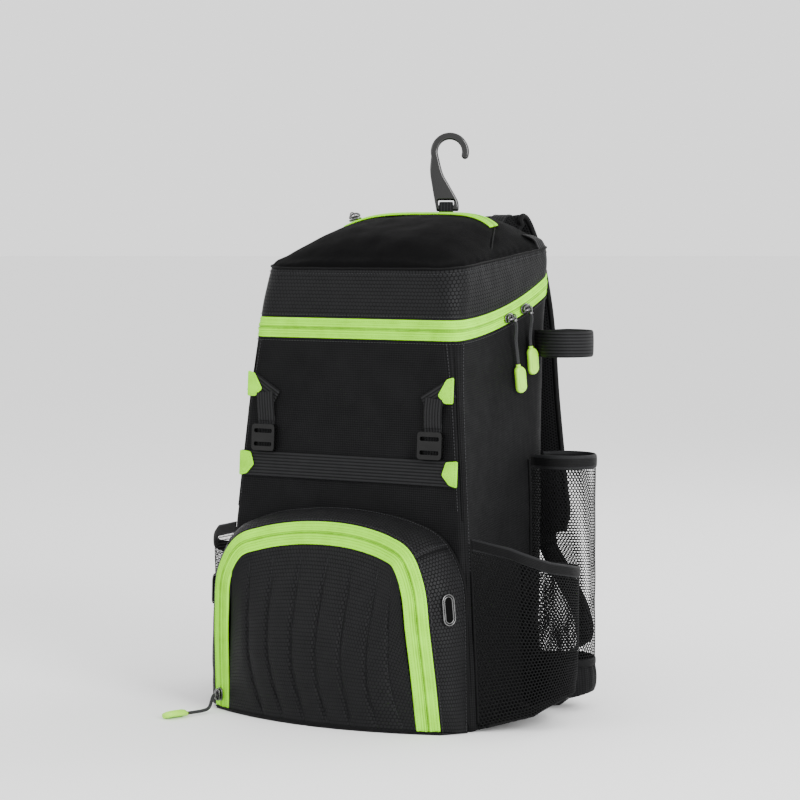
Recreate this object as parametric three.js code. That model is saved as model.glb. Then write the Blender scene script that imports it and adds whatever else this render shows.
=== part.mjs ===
// Backpack for two bats: a cloth body with a hinged lid, a crowned front pocket, net side pockets,
// a strap holder on the front panel, shoulder straps and a moulded fence hook.
// Millimetres. X is to the right seen from the front, Y towards the wearer's back, Z up.
import * as THREE from "three";

const { Vector3, Vector2, CatmullRomCurve3 } = THREE;

// Driving dimensions of the main bag
const baseWidth = 300; // across the two front seams at the base
const baseDepth = 192; // front panel to back panel at the base
const seamHeight = 430; // base to the front seam of the lid's top panel
const seamRise = 21; // how much higher that seam is at the back
const ridgeHeight = 483; // base to the highest line of the lid
const bodyWall = 3;
const lidWall = 3;
const baseRounding = 6;
const sewnGap = 0.3; // between pieces that are sewn together

// Lid zipper
const zipperFront = 363; // height of its lower edge at the front
const zipperRise = 46; // how much higher it ends at the back
const zipperWidth = 19;
const tapeThickness = 2.4;
const coilHeight = 1;
const topZipperWidth = 14;
const topZipperHalf = 86; // from the middle to its end
const topZipperBow = 18; // how far its ends lie in front of its middle

// Front pocket
const pocketHalf = 119; // half the distance between the two zipper runs at the base
const pocketDepth = 39; // from the front panel to the zipper where it stands out most
const pocketHeight = 180; // base to the crown of the zipper
const pocketRootHeight = 200; // base to the crown of the seam on the front panel
const pocketZipperWidth = 22;
const pocketTilt = THREE.MathUtils.degToRad(22);
const pocketCloth = 2;
const doorCrown = 20;
const doorBulge = 15;
const channelCount = 8;
const channelDepth = 2.2;
const floorThickness = 2.4;

// Bottle pockets
const bottlePockets = {
  right: { radius: 47, out: 168, y: -28 }, // holds the round form of a bottle
  left: { radius: 34, out: 154, y: -36 }, // slack
};
const bottleBackY = 28;
const bottleRim = 168;
const bottleFloorLift = 25; // how much higher the floor is at its outer edge
const cupBottom = 2.2; // floor to the lowest edge of a side pocket
const netThickness = 1.6;
const bandWidth = 11;
const bandThickness = 2.8;

// Bat sleeves and bat loops share one upright axis
const batOut = 153;
const batY = 70;
const sleeveRadius = 28.5;
const sleeveHeight = 236;
const sleeveFrontY = 46;
const sleeveBackY = 82;
const footHeight = 46;
const footLift = 15; // how much higher the foot is at its outer edge
const batLoopHeight = 357; // middle of the loop
const batLoopRadius = 25;
const batLoopFrontY = 62;
const batLoopBackY = 80;
const webbingWidth = 25;
const holderWebbing = 20; // of the slanted and the upright straps
const webbingThickness = 1.8;

// Helmet holder on the front panel
const upperTabHeight = 317;
const lowerTabHeight = 239;
const tabLength = 17;
const tabHeight = 25;
const tabThickness = 1.6;
const lockWidth = 27;
const lockHeight = 26;
const lockThickness = 4.5;

// Back
const padWidth = 184;
const padBottom = 26;
const padTop = 392;
const padThickness = 9;
const strapWidth = 56;
const strapThickness = 11;
const lowerWebbing = 20;

// Fence hook
const hookBowl = 15.9; // middle of the rod to the middle of the bowl
const hookRod = 7.4;
const hookHeight = 60.3; // foot of the hook to the middle of the bowl
const hookFoot = 23;
const hookThickness = 6;
const hookTurn = THREE.MathUtils.degToRad(28);
const hookBase = new Vector3(-9, 110.2, 486);
const slotLength = 16;
const slotHeight = 5;
const slotLift = 6; // foot of the hook to the slot
const hookWebbing = 14;

// Sliders, their cords and moulded ends
const sliderLength = 13;
const sliderWidth = 9;
const sliderThickness = 4.5;
const cordWidth = 3.4;
const endLength = 26;
const endWidth = 11;
const endThickness = 5.5;

// Tables of sections. The first column is where a row holds; lengths are shares of named sizes.
// height: share of seamHeight; half widths, radii and dent: of baseWidth / 2; front, back: of baseDepth
const skinTable = {
  columns: ["height", "frontHalf", "backHalf", "front", "back", "frontRadius", "backRadius", "dent"],
  rows: [
    [0.00, 1.000, 0.853, 0.520, 0.480, 0.06, 0.28, 0.01],
    [0.25, 0.936, 0.853, 0.487, 0.483, 0.06, 0.28, 0.05],
    [0.50, 0.871, 0.848, 0.453, 0.488, 0.06, 0.27, 0.04],
    [0.72, 0.815, 0.825, 0.424, 0.497, 0.07, 0.22, 0.03],
    [0.84, 0.782, 0.805, 0.407, 0.511, 0.10, 0.18, 0.02],
    [0.94, 0.775, 0.800, 0.392, 0.523, 0.15, 0.13, 0.00],
    [1.00, 0.747, 0.785, 0.365, 0.530, 0.20, 0.10, 0.00],
    [1.06, 0.740, 0.780, 0.360, 0.530, 0.20, 0.10, 0.00],
  ],
};
// back: share of the lid's depth from its front seam; rise: share of ridgeHeight - seamHeight
const domeTable = {
  columns: ["back", "rise"],
  rows: [[0, 0], [0.05, 0.2], [0.18, 0.46], [0.32, 0.61], [0.53, 0.71], [0.76, 0.7], [0.91, 0.56], [1, 0]],
};
// across: share of pocketHalf; out: of pocketDepth; up: of pocketHeight; the root's own two shares
// are of baseWidth / 2 and of pocketRootHeight
const archTable = {
  columns: ["along", "across", "out", "up", "rootAcross", "rootUp"],
  rows: [
    [0.00, 1.000, 0.72, 0.02, 0.965, 0.015],
    [0.18, 0.980, 0.84, 0.27, 0.950, 0.250],
    [0.36, 0.950, 0.97, 0.54, 0.935, 0.500],
    [0.50, 0.910, 1.00, 0.76, 0.895, 0.720],
    [0.62, 0.785, 0.90, 0.905, 0.740, 0.890],
    [0.72, 0.605, 0.74, 0.953, 0.530, 0.955],
    [0.86, 0.300, 0.60, 0.990, 0.250, 0.990],
    [1.00, 0.000, 0.55, 1.000, 0.000, 1.000],
  ],
};
// along: share of the way round from the front seam; rim: share of bottleRim
const rimTable = {
  columns: ["along", "rim"],
  rows: [[0, 1], [0.15, 0.96], [0.35, 0.88], [0.55, 0.84], [0.8, 0.82], [1, 0.82]],
};
// drop: share of the wall's height; size: share of the radius; tuck: share of the way to the panel
const cupTable = [
  { drop: 1, size: 1, tuck: 0 },
  { drop: 0.55, size: 1, tuck: 0 },
  { drop: 0.2, size: 0.98, tuck: 0 },
  { drop: 0.05, size: 0.93, tuck: 0 },
  { drop: 0, size: 0.82, tuck: 0 },
  { drop: 0, size: 0.6, tuck: 0.6 },
  { drop: 0, size: 0.6, tuck: 1 },
];
// side: share of baseWidth / 2; back: of baseDepth; up: of ridgeHeight
const strapSeat = { side: 0.31, up: 0.85 };
const webbingSeat = 0.055; // share of ridgeHeight
const shoulderTable = [
  { side: 0.3, back: 0.58, up: 0.92 },
  { side: 0.3, back: 0.62, up: 0.972 },
  { side: 0.31, back: 0.66, up: 0.985 },
  { side: 0.36, back: 0.715, up: 0.93 },
  { side: 0.44, back: 0.74, up: 0.8 },
  { side: 0.5, back: 0.74, up: 0.6 },
  { side: 0.57, back: 0.735, up: 0.42 },
  { side: 0.62, back: 0.72, up: 0.33 },
];
const lowerTable = [
  { side: 0.72, back: 0.745, up: 0.25 },
  { side: 0.85, back: 0.775, up: 0.165 },
  { side: 0.89, back: 0.74, up: 0.11 },
  { side: 0.84, back: 0.6, up: 0.09 },
];

// Colours and finishes
const cloth = { color: 0x1c1d1f, roughness: 0.85, metalness: 0 };
const ripstop = { color: 0x232426, roughness: 0.7, metalness: 0 };
const net = { color: 0x151516, roughness: 0.9, metalness: 0 };
const webbing = { color: 0x18181a, roughness: 0.8, metalness: 0 };
const bright = { color: 0xaafa50, roughness: 0.6, metalness: 0 };
const pale = { color: 0xc3f578, roughness: 0.4, metalness: 0 };
const plastic = { color: 0x0d0d0e, roughness: 0.25, metalness: 0 };
const padding = { color: 0x19191b, roughness: 0.9, metalness: 0 };
const ringMetal = { color: 0x2a2a2c, roughness: 0.35, metalness: 0.4 };

const bag = new THREE.Group();
const pieces = new THREE.Group();
bag.add(pieces);

function add(name, geometry, look, parent = pieces) {
  const mesh = new THREE.Mesh(geometry, new THREE.MeshStandardMaterial(look));
  mesh.name = name;
  parent.add(mesh);
  return mesh;
}

const mix = THREE.MathUtils.lerp;
const sides = { right: 1, left: -1 };

function lookUp(table, key) {
  const rows = table.rows;
  let upper = rows.findIndex((row) => row[0] >= key);
  if (upper < 0) upper = rows.length - 1;
  const high = rows[Math.max(upper, 1)];
  const low = rows[Math.max(upper, 1) - 1];
  const share = THREE.MathUtils.clamp((key - low[0]) / (high[0] - low[0]), 0, 1);
  return Object.fromEntries(table.columns.map((name, at) => [name, mix(low[at], high[at], share)]));
}

// One closed body from points and triangles, turned so that its faces point out
function closedBody(points, triangles) {
  let volume = 0;
  for (const [a, b, c] of triangles) {
    volume += points[a].dot(points[b].clone().cross(points[c]));
  }
  const geometry = new THREE.BufferGeometry();
  geometry.setAttribute("position", new THREE.Float32BufferAttribute(points.flatMap((p) => p.toArray()), 3));
  geometry.setIndex(triangles.flatMap(([a, b, c]) => (volume < 0 ? [a, c, b] : [a, b, c])));
  geometry.computeVertexNormals();
  return geometry;
}

function quad(triangles, a, b, c, d) {
  triangles.push([a, b, c], [a, c, d]);
}

// Rings of equal count joined one to the next, with a fan over the first and the last
function loft(rings, startMiddle, endMiddle) {
  const count = rings[0].length;
  const points = rings.flat();
  const triangles = [];
  for (let r = 0; r + 1 < rings.length; r += 1) {
    for (let k = 0; k < count; k += 1) {
      const next = (k + 1) % count;
      quad(triangles, r * count + k, r * count + next, (r + 1) * count + next, (r + 1) * count + k);
    }
  }
  const last = (rings.length - 1) * count;
  const start = points.push(startMiddle) - 1;
  const end = points.push(endMiddle) - 1;
  for (let k = 0; k < count; k += 1) {
    const next = (k + 1) % count;
    triangles.push([start, next, k], [end, last + k, last + next]);
  }
  return closedBody(points, triangles);
}

// A cloth sheet: the face given by at(column, row), and a second face behind it. The second face is
// thickness away along the normal, on the side that sign says, or is given by behind(column, row).
function sheet({ columns, rows, at, thickness = 0, sign = 1, wrap = false, behind = null }) {
  const across = wrap ? columns : columns + 1;
  const grid = [];
  for (let i = 0; i < across; i += 1) {
    grid.push(Array.from({ length: rows + 1 }, (_, j) => at(i, j)));
  }
  const place = (i, j) => grid[wrap ? (i + columns) % columns : THREE.MathUtils.clamp(i, 0, columns)][j];
  const normal = (i, j) => {
    const along = place(i + 1, j).clone().sub(place(i - 1, j));
    const up = place(i, Math.min(j + 1, rows)).clone().sub(place(i, Math.max(j - 1, 0)));
    return along.cross(up).normalize();
  };
  const back = (i, j) => (behind ? behind(i, j) : grid[i][j].clone().addScaledVector(normal(i, j), sign * thickness));
  const points = [];
  const index = (i, j, layer) => ((wrap ? i % columns : i) * (rows + 1) + j) * 2 + layer;
  for (let i = 0; i < across; i += 1) {
    for (let j = 0; j <= rows; j += 1) {
      points.push(grid[i][j].clone(), back(i, j));
    }
  }
  const triangles = [];
  for (let i = 0; i < columns; i += 1) {
    for (let j = 0; j < rows; j += 1) {
      quad(triangles, index(i, j, 0), index(i + 1, j, 0), index(i + 1, j + 1, 0), index(i, j + 1, 0));
      quad(triangles, index(i, j, 1), index(i, j + 1, 1), index(i + 1, j + 1, 1), index(i + 1, j, 1));
    }
    quad(triangles, index(i, 0, 0), index(i, 0, 1), index(i + 1, 0, 1), index(i + 1, 0, 0));
    quad(triangles, index(i, rows, 0), index(i + 1, rows, 0), index(i + 1, rows, 1), index(i, rows, 1));
  }
  if (!wrap) {
    for (let j = 0; j < rows; j += 1) {
      quad(triangles, index(0, j, 0), index(0, j + 1, 0), index(0, j + 1, 1), index(0, j, 1));
      quad(triangles, index(columns, j, 0), index(columns, j, 1), index(columns, j + 1, 1), index(columns, j + 1, 0));
    }
  }
  return closedBody(points, triangles);
}

// A flat strap along a path. Either its width's direction is given, by across, or its face's, by face.
function ribbon({ path, across = null, face = null, width, thickness, steps, edge = 0 }) {
  const curve = new CatmullRomCurve3(path);
  const section = edge > 0
    ? [[-1, 0], [-1 + edge, 0.5], [1 - edge, 0.5], [1, 0], [1 - edge, -0.5], [-1 + edge, -0.5]]
    : [[-1, 0.5], [1, 0.5], [1, -0.5], [-1, -0.5]];
  const rings = [];
  for (let i = 0; i <= steps; i += 1) {
    const middle = curve.getPoint(i / steps);
    const tangent = curve.getTangent(i / steps);
    const half = (typeof width === "function" ? width(i / steps) : width) / 2;
    const thick = face ? face.clone() : tangent.clone().cross(across(i / steps)).normalize();
    const wide = thick.clone().cross(tangent).normalize();
    rings.push(section.map(([w, t]) => middle.clone()
      .addScaledVector(wide, w * half).addScaledVector(thick, t * thickness)));
  }
  return loft(rings, curve.getPoint(0), curve.getPoint(1));
}

// A plate cut from an outline in the plane of X and Y, with its thickness along Z
function plate(outline, thickness, holes = [], bevel = 0) {
  const shape = new THREE.Shape(outline);
  shape.holes = holes.map((hole) => new THREE.Path(hole));
  return new THREE.ExtrudeGeometry(shape, {
    depth: thickness - 2 * bevel,
    bevelEnabled: bevel > 0,
    bevelThickness: bevel,
    bevelSize: bevel,
    bevelOffset: -bevel,
    bevelSegments: 1,
  }).translate(0, 0, bevel);
}

// Outline of a rounded rectangle or, with fully round ends, of an oval
function roundedOutline(width, height, radius, steps = 3) {
  const points = [];
  const corners = [[1, -1, -90], [1, 1, 0], [-1, 1, 90], [-1, -1, 180]];
  for (const [x, y, turn] of corners) {
    for (let i = 0; i <= steps; i += 1) {
      const angle = THREE.MathUtils.degToRad(turn + 90 * i / steps);
      points.push(new Vector2(
        x * (width / 2 - radius) + radius * Math.cos(angle),
        y * (height / 2 - radius) + radius * Math.sin(angle),
      ));
    }
  }
  return points.filter((p, i) => p.distanceTo(points[(i + 1) % points.length]) > 0.01);
}

// Skin of the main bag: plan outlines at each height
const ringSteps = { front: 4, frontCorner: 3, side: 6, backCorner: 4, back: 2 };
const halfCount = Object.values(ringSteps).reduce((sum, steps) => sum + steps, 0);
const ringCount = 2 * halfCount;
const fold = (k) => Math.min(((k % ringCount) + ringCount) % ringCount, ringCount - (((k % ringCount) + ringCount) % ringCount));

function skinSection(z, out) {
  const shares = lookUp(skinTable, z / seamHeight);
  const half = baseWidth / 2;
  return {
    frontHalf: shares.frontHalf * half + out,
    backHalf: shares.backHalf * half + out,
    front: -shares.front * baseDepth - out,
    back: shares.back * baseDepth + out,
    frontRadius: Math.max(shares.frontRadius * half + out, 1),
    backRadius: Math.max(shares.backRadius * half + out, 1),
    dent: shares.dent * half,
  };
}

// The half outline from the middle of the front to the middle of the back, on the +X side
function halfOutline(z, out = 0) {
  const s = skinSection(z, out);
  const points = [];
  const arc = (x, y, radius, from, to, steps) => {
    for (let i = 1; i <= steps; i += 1) {
      const angle = mix(from, to, i / steps);
      points.push(new Vector2(x + radius * Math.cos(angle), y + radius * Math.sin(angle)));
    }
  };
  for (let i = 0; i <= ringSteps.front; i += 1) {
    points.push(new Vector2((s.frontHalf - s.frontRadius) * i / ringSteps.front, s.front));
  }
  arc(s.frontHalf - s.frontRadius, s.front + s.frontRadius, s.frontRadius, -Math.PI / 2, 0, ringSteps.frontCorner);
  const from = points[points.length - 1];
  const to = new Vector2(s.backHalf, s.back - s.backRadius);
  for (let i = 1; i <= ringSteps.side; i += 1) {
    const share = i / ringSteps.side;
    const point = from.clone().lerp(to, share);
    point.x -= s.dent * Math.sin(Math.PI * share);
    points.push(point);
  }
  arc(s.backHalf - s.backRadius, s.back - s.backRadius, s.backRadius, 0, Math.PI / 2, ringSteps.backCorner);
  const middle = points[points.length - 1];
  for (let i = 1; i <= ringSteps.back; i += 1) {
    points.push(new Vector2(middle.x * (1 - i / ringSteps.back), middle.y));
  }
  return points;
}

function skinPoint(k, z, out = 0) {
  const turn = ((k % ringCount) + ringCount) % ringCount;
  const point = halfOutline(z, out)[fold(k)];
  return new Vector3(turn > halfCount ? -point.x : point.x, point.y, z);
}

// X of the side panel where it is y from front to back
function sideX(y, z) {
  const outline = halfOutline(z);
  for (let i = ringSteps.front; i + 1 < outline.length; i += 1) {
    const [a, b] = [outline[i], outline[i + 1]];
    if (b.y > a.y && y >= a.y && y <= b.y) return mix(a.x, b.x, (y - a.y) / (b.y - a.y));
  }
  return outline[ringSteps.front].x;
}

const frontY = (z) => skinSection(z, 0).front;
const backY = (z) => skinSection(z, 0).back;

// Heights that follow the way round the bag
const lidFront = skinSection(seamHeight, 0).front;
const lidBack = skinSection(seamHeight, 0).back;
const backShare = (y) => THREE.MathUtils.clamp((y - lidFront) / (lidBack - lidFront), 0, 1);
const shareAt = (k) => backShare(skinPoint(k, seamHeight).y);
const zipperLow = (k) => zipperFront + zipperRise * shareAt(k) ** 2.2;
const zipperHigh = (k) => zipperLow(k) + zipperWidth;
const seamAt = (k) => seamHeight + seamRise * shareAt(k);
const zipperEnd = halfCount - ringSteps.back - 1;

function mainBody() {
  const top = (k) => (fold(k) <= zipperEnd ? zipperLow(k) : zipperHigh(k)) - sewnGap;
  const heights = [0.012, 0.25, 0.5, 0.72].map((share) => share * seamHeight);
  const ring = (z, out) => Array.from({ length: ringCount }, (_, k) => skinPoint(k, z(k), out));
  const walls = [...heights.map((height) => () => height), top];
  const outer = [ring(() => 0, -baseRounding), ...walls.map((z) => ring(z, 0))];
  const inner = walls.slice().reverse().map((z) => ring(z, -bodyWall));
  const floor = ring(() => bodyWall, -baseRounding - bodyWall);
  return loft([...outer, ...inner, floor], new Vector3(0, 0, 0), new Vector3(0, 0, bodyWall));
}

function lidBand() {
  return sheet({
    columns: ringCount,
    rows: 2,
    wrap: true,
    at: (k, j) => skinPoint(k, mix(zipperHigh(k) + sewnGap, seamAt(k) - sewnGap, j / 2), 0),
    behind: (k, j) => skinPoint(k, mix(zipperHigh(k) + sewnGap, seamAt(k) - sewnGap, j / 2), -lidWall),
  });
}

// Half width of the lid's seam where it is y from front to back
function lidHalf(y) {
  const outline = halfOutline(seamHeight);
  for (let i = 0; i + 1 < outline.length; i += 1) {
    const [a, b] = [outline[i], outline[i + 1]];
    if (b.y > a.y && y >= a.y && y <= b.y) return mix(a.x, b.x, (y - a.y) / (b.y - a.y));
  }
  return outline[ringSteps.front].x;
}

function domeZ(x, y) {
  const share = backShare(y);
  const rise = lookUp(domeTable, share).rise * (ridgeHeight - seamHeight);
  const edge = Math.min(Math.abs(x) / lidHalf(y), 1);
  return seamHeight + seamRise * share + rise * (1 - edge ** 4);
}

function lidTop() {
  const shares = [0, 0.06, 0.16, 0.32, 0.52, 0.76];
  const middle = new Vector2(0, mix(lidFront, lidBack, 0.6));
  const ring = (share, out) => Array.from({ length: ringCount }, (_, k) => {
    const seam = skinPoint(k, seamHeight, out);
    const x = mix(seam.x, middle.x, share);
    const y = mix(seam.y, middle.y, share);
    const z = Math.max(domeZ(x, y) + out, seamAt(k));
    return new Vector3(x, y, share === 0 ? seamAt(k) : z);
  });
  const outer = shares.map((share) => ring(share, 0));
  const inner = shares.slice().reverse().map((share) => ring(share, -lidWall));
  const peak = domeZ(middle.x, middle.y);
  return loft([...inner, ...outer], new Vector3(0, middle.y, peak - lidWall), new Vector3(0, middle.y, peak));
}

// Zipper tape: flat with a raised coil along its middle
const tapeRows = [0, 0.36, 0.5, 0.64, 1];
const coilAt = (j) => (j === 2 ? coilHeight : 0);

function lidZipper() {
  const height = (k, j) => mix(zipperLow(k) + sewnGap, zipperHigh(k) - sewnGap, tapeRows[j]);
  return sheet({
    columns: 2 * zipperEnd,
    rows: tapeRows.length - 1,
    at: (i, j) => skinPoint(i - zipperEnd, height(i - zipperEnd, j), 0.5 + coilAt(j)),
    behind: (i, j) => skinPoint(i - zipperEnd, height(i - zipperEnd, j), 0.5 - tapeThickness),
  });
}

function topZipper() {
  const columns = 16;
  const middleY = mix(lidFront, lidBack, 0.765);
  const point = (i, j, lift) => {
    const x = mix(-topZipperHalf, topZipperHalf, i / columns);
    const bow = topZipperBow * (x / topZipperHalf) ** 2;
    const y = middleY - bow + topZipperWidth * (tapeRows[j] - 0.5);
    return new Vector3(x, y, domeZ(x, y) + lift);
  };
  const lift = sewnGap + 0.1;
  return sheet({
    columns,
    rows: tapeRows.length - 1,
    at: (i, j) => point(i, j, lift + 1.2 + coilAt(j)),
    behind: (i, j) => point(i, j, lift),
  });
}

// Front pocket: the middle line of its zipper, the zipper's two edges and the seam on the front panel
function archPoint(along, sign) {
  const row = lookUp(archTable, along);
  return new Vector3(sign * row.across * pocketHalf, frontY(0) - row.out * pocketDepth, row.up * pocketHeight);
}
const archCurve = new CatmullRomCurve3([
  ...archTable.rows.map((row) => archPoint(row[0], 1)),
  ...archTable.rows.slice(0, -1).reverse().map((row) => archPoint(row[0], -1)),
]);
const rootCurve = new CatmullRomCurve3([
  ...archTable.rows.map((row) => rootPoint(row[0], 1)),
  ...archTable.rows.slice(0, -1).reverse().map((row) => rootPoint(row[0], -1)),
]);
function rootPoint(along, sign) {
  const row = lookUp(archTable, along);
  const z = row.rootUp * pocketRootHeight;
  return new Vector3(sign * row.rootAcross * baseWidth / 2, frontY(z) - sewnGap - 0.45 * pocketCloth, z);
}

// From the door's side to the wall's side of the zipper, square to its middle line
function tapeDirection(share) {
  const tangent = archCurve.getTangent(share);
  const away = new Vector3(tangent.z, 0, -tangent.x).normalize();
  return away.multiplyScalar(Math.cos(pocketTilt)).add(new Vector3(0, Math.sin(pocketTilt), 0));
}

function tapePoint(share, offset) {
  const point = archCurve.getPoint(share).addScaledVector(tapeDirection(share), offset);
  point.z = Math.max(point.z, floorThickness + sewnGap);
  return point;
}

function tapeNormal(share) {
  const tangent = archCurve.getTangent(share);
  return tangent.cross(tapeDirection(share)).normalize().negate();
}

const archColumns = 32;

function pocketZipper() {
  const point = (i, j, lift) => {
    const share = i / archColumns;
    const offset = (tapeRows[j] - 0.5) * pocketZipperWidth;
    return tapePoint(share, offset).addScaledVector(tapeNormal(share), lift);
  };
  return sheet({
    columns: archColumns,
    rows: tapeRows.length - 1,
    at: (i, j) => point(i, j, coilAt(j)),
    behind: (i, j) => point(i, j, -tapeThickness),
  });
}

// The wall between zipper and front panel; share runs along the arch, out from the zipper to the panel
function gussetPoint(share, out, lift = 0) {
  const edge = tapePoint(share, pocketZipperWidth / 2 + sewnGap);
  const root = rootCurve.getPoint(share);
  root.z = Math.max(root.z, floorThickness + sewnGap);
  const away = archCurve.getTangent(share).cross(root.clone().sub(edge)).normalize().negate();
  return edge.lerp(root, out).addScaledVector(away, 4 * Math.sin(Math.PI * out) + lift);
}

function pocketGusset() {
  const rows = 3;
  return sheet({
    columns: archColumns,
    rows,
    at: (i, j) => gussetPoint(i / archColumns, j / rows),
    behind: (i, j) => (j > 0
      ? gussetPoint(i / archColumns, j / rows, -pocketCloth)
      : gussetPoint(i / archColumns, 0).addScaledVector(tapeNormal(i / archColumns), -pocketCloth)),
  });
}

// The door's channels run upright: a column of the grid every quarter of a channel
const archTurn = 0.23; // share of the arch where each upright zipper run bends over
const doorEdge = -pocketZipperWidth / 2 - sewnGap - tapeThickness * Math.sin(pocketTilt);

function doorPoint(across, up, depth) {
  const crown = 1 - across * across;
  const top = tapePoint(mix(1 - archTurn, archTurn, (across + 1) / 2), doorEdge);
  const foot = tapePoint(0, doorEdge);
  foot.set(foot.x * across, foot.y - doorCrown * crown, floorThickness + sewnGap);
  const point = foot.lerp(top, up);
  const groove = 0.5 + 0.5 * Math.cos(across * channelCount * Math.PI);
  const fade = Math.sqrt(crown) * Math.min(1, 4 * (1 - up));
  point.y -= doorBulge * Math.sin(Math.PI * up) * crown - channelDepth * groove * fade - depth;
  return point;
}

function pocketDoor() {
  const columns = 4 * channelCount;
  const rows = 6;
  return sheet({
    columns,
    rows,
    at: (i, j) => doorPoint(2 * i / columns - 1, j / rows, 0),
    behind: (i, j) => doorPoint(2 * i / columns - 1, j / rows, pocketCloth),
  });
}

function pocketFloor() {
  const outline = [];
  const half = rootPoint(0, 1).x;
  const zipperOuter = tapePoint(0, pocketZipperWidth / 2);
  const columns = 16;
  outline.push(new Vector2(-half, frontY(0) - sewnGap - 0.4), new Vector2(-zipperOuter.x, zipperOuter.y));
  for (let i = 0; i <= columns; i += 1) {
    const point = doorPoint(2 * i / columns - 1, 0, 0);
    outline.push(new Vector2(point.x, point.y));
  }
  outline.push(new Vector2(zipperOuter.x, zipperOuter.y), new Vector2(half, frontY(0) - sewnGap - 0.4));
  return plate(outline, floorThickness);
}

// Plan of a pocket wall: from the side panel at yFront, tangent round a circle, back to the panel
const wrapSteps = { straight: 2, arc: 9 };
const wrapCount = 2 * wrapSteps.straight + wrapSteps.arc;

function wrapPlan({ yFront, yBack, middle, radius, z, attach }) {
  const panelZ = Math.max(z, baseRounding);
  const front = yFront(panelZ);
  const start = new Vector2(sideX(front, panelZ) + attach, front);
  const end = new Vector2(sideX(yBack, panelZ) + attach, yBack);
  const toStart = start.clone().sub(middle);
  const toEnd = end.clone().sub(middle);
  const reach = (v) => Math.acos(Math.min(radius / v.length(), 1));
  const from = Math.atan2(toStart.y, toStart.x) + reach(toStart);
  const to = Math.atan2(toEnd.y, toEnd.x) - reach(toEnd);
  const points = [];
  for (let i = 0; i <= wrapSteps.arc; i += 1) {
    const angle = mix(from, to, i / wrapSteps.arc);
    points.push(new Vector2(middle.x + radius * Math.cos(angle), middle.y + radius * Math.sin(angle)));
  }
  const last = points[points.length - 1];
  const ahead = Array.from({ length: wrapSteps.straight }, (_, i) => start.clone().lerp(points[0], i / wrapSteps.straight));
  const after = Array.from({ length: wrapSteps.straight }, (_, i) => last.clone().lerp(end, (i + 1) / wrapSteps.straight));
  return [...ahead, ...points, ...after];
}

// A wall between two heights that follows such a plan, on the side of the bag that sign says
function wrapWall({ plan, rows, low, high, thickness, sign }) {
  return sheet({
    columns: wrapCount,
    rows,
    thickness,
    sign: -sign,
    at: (i, j) => {
      const z = mix(low(i), high(i), j / rows);
      const point = wrapPlan({ ...plan, z, attach: sewnGap + thickness * plan.lift })[i];
      return new Vector3(sign * point.x, point.y, z);
    },
  });
}

// A wall with a floor that tucks in to the side panel
function wrapCup({ plan, high, lift, thickness, sign }) {
  const rows = cupTable.length - 1;
  return sheet({
    columns: wrapCount,
    rows,
    thickness,
    sign,
    at: (i, j) => {
      const step = cupTable[j];
      const bottom = cupBottom + lift * Math.sin(Math.PI * i / wrapCount) * (1 - step.tuck);
      const z = mix(bottom, high(i), step.drop) + (step.tuck > 0 ? 0.8 : 0);
      const attach = sewnGap + thickness * plan.lift;
      const wall = wrapPlan({ ...plan, radius: plan.radius * step.size, z, attach })[i];
      const y = mix(plan.yFront(baseRounding), plan.yBack, i / wrapCount);
      const panel = new Vector2(sideX(y, baseRounding) + 4 * sewnGap, y);
      const point = wall.lerp(panel, step.tuck);
      return new Vector3(sign * point.x, point.y, z);
    },
  });
}

const bottlePlan = (side) => ({
  yFront: (z) => frontY(z) + skinSection(z, 0).frontRadius,
  yBack: bottleBackY,
  middle: new Vector2(bottlePockets[side].out, bottlePockets[side].y),
  radius: bottlePockets[side].radius,
  lift: 0.85,
});
const sleevePlan = {
  yFront: () => sleeveFrontY,
  yBack: sleeveBackY,
  middle: new Vector2(batOut, batY),
  radius: sleeveRadius,
  lift: 1,
};
const loopPlan = { ...sleevePlan, yFront: () => batLoopFrontY, yBack: batLoopBackY, radius: batLoopRadius };
const rimAt = (i) => bottleRim * lookUp(rimTable, i / wrapCount).rim;

function widened(plan, thickness) {
  return { ...plan, radius: plan.radius + (thickness - netThickness) / 2 };
}

function sidePockets(side, sign) {
  add(`bottle_pocket_${side}`, wrapCup({
    plan: bottlePlan(side),
    high: rimAt,
    lift: bottleFloorLift,
    thickness: netThickness,
    sign,
  }), net);
  add(`bottle_band_${side}`, wrapWall({
    plan: widened(bottlePlan(side), bandThickness),
    rows: 1,
    low: (i) => rimAt(i) + sewnGap,
    high: (i) => rimAt(i) + bandWidth,
    thickness: bandThickness,
    sign,
  }), webbing);
  add(`bat_sleeve_foot_${side}`, wrapCup({
    plan: sleevePlan,
    high: () => footHeight,
    lift: footLift,
    thickness: netThickness,
    sign,
  }), cloth);
  add(`bat_sleeve_${side}`, wrapWall({
    plan: sleevePlan,
    rows: 4,
    low: () => footHeight + sewnGap,
    high: () => sleeveHeight - sewnGap,
    thickness: netThickness,
    sign,
  }), net);
  add(`bat_sleeve_band_${side}`, wrapWall({
    plan: widened(sleevePlan, bandThickness),
    rows: 1,
    low: () => sleeveHeight,
    high: () => sleeveHeight + bandWidth + 2,
    thickness: bandThickness,
    sign,
  }), webbing);
  add(`bat_loop_${side}`, wrapWall({
    plan: loopPlan,
    rows: 1,
    low: () => batLoopHeight - webbingWidth / 2,
    high: () => batLoopHeight + webbingWidth / 2,
    thickness: webbingThickness,
    sign,
  }), webbing);
}

// Things on the front panel lie in its plane, which leans back as it rises
const frontLean = Math.atan2(frontY(upperTabHeight) - frontY(lowerTabHeight), upperTabHeight - lowerTabHeight);
const outOfFront = new Vector3(0, -Math.cos(frontLean), Math.sin(frontLean));
const onFront = (x, z, out) => new Vector3(x, frontY(z), z).addScaledVector(outOfFront, out);

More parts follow.
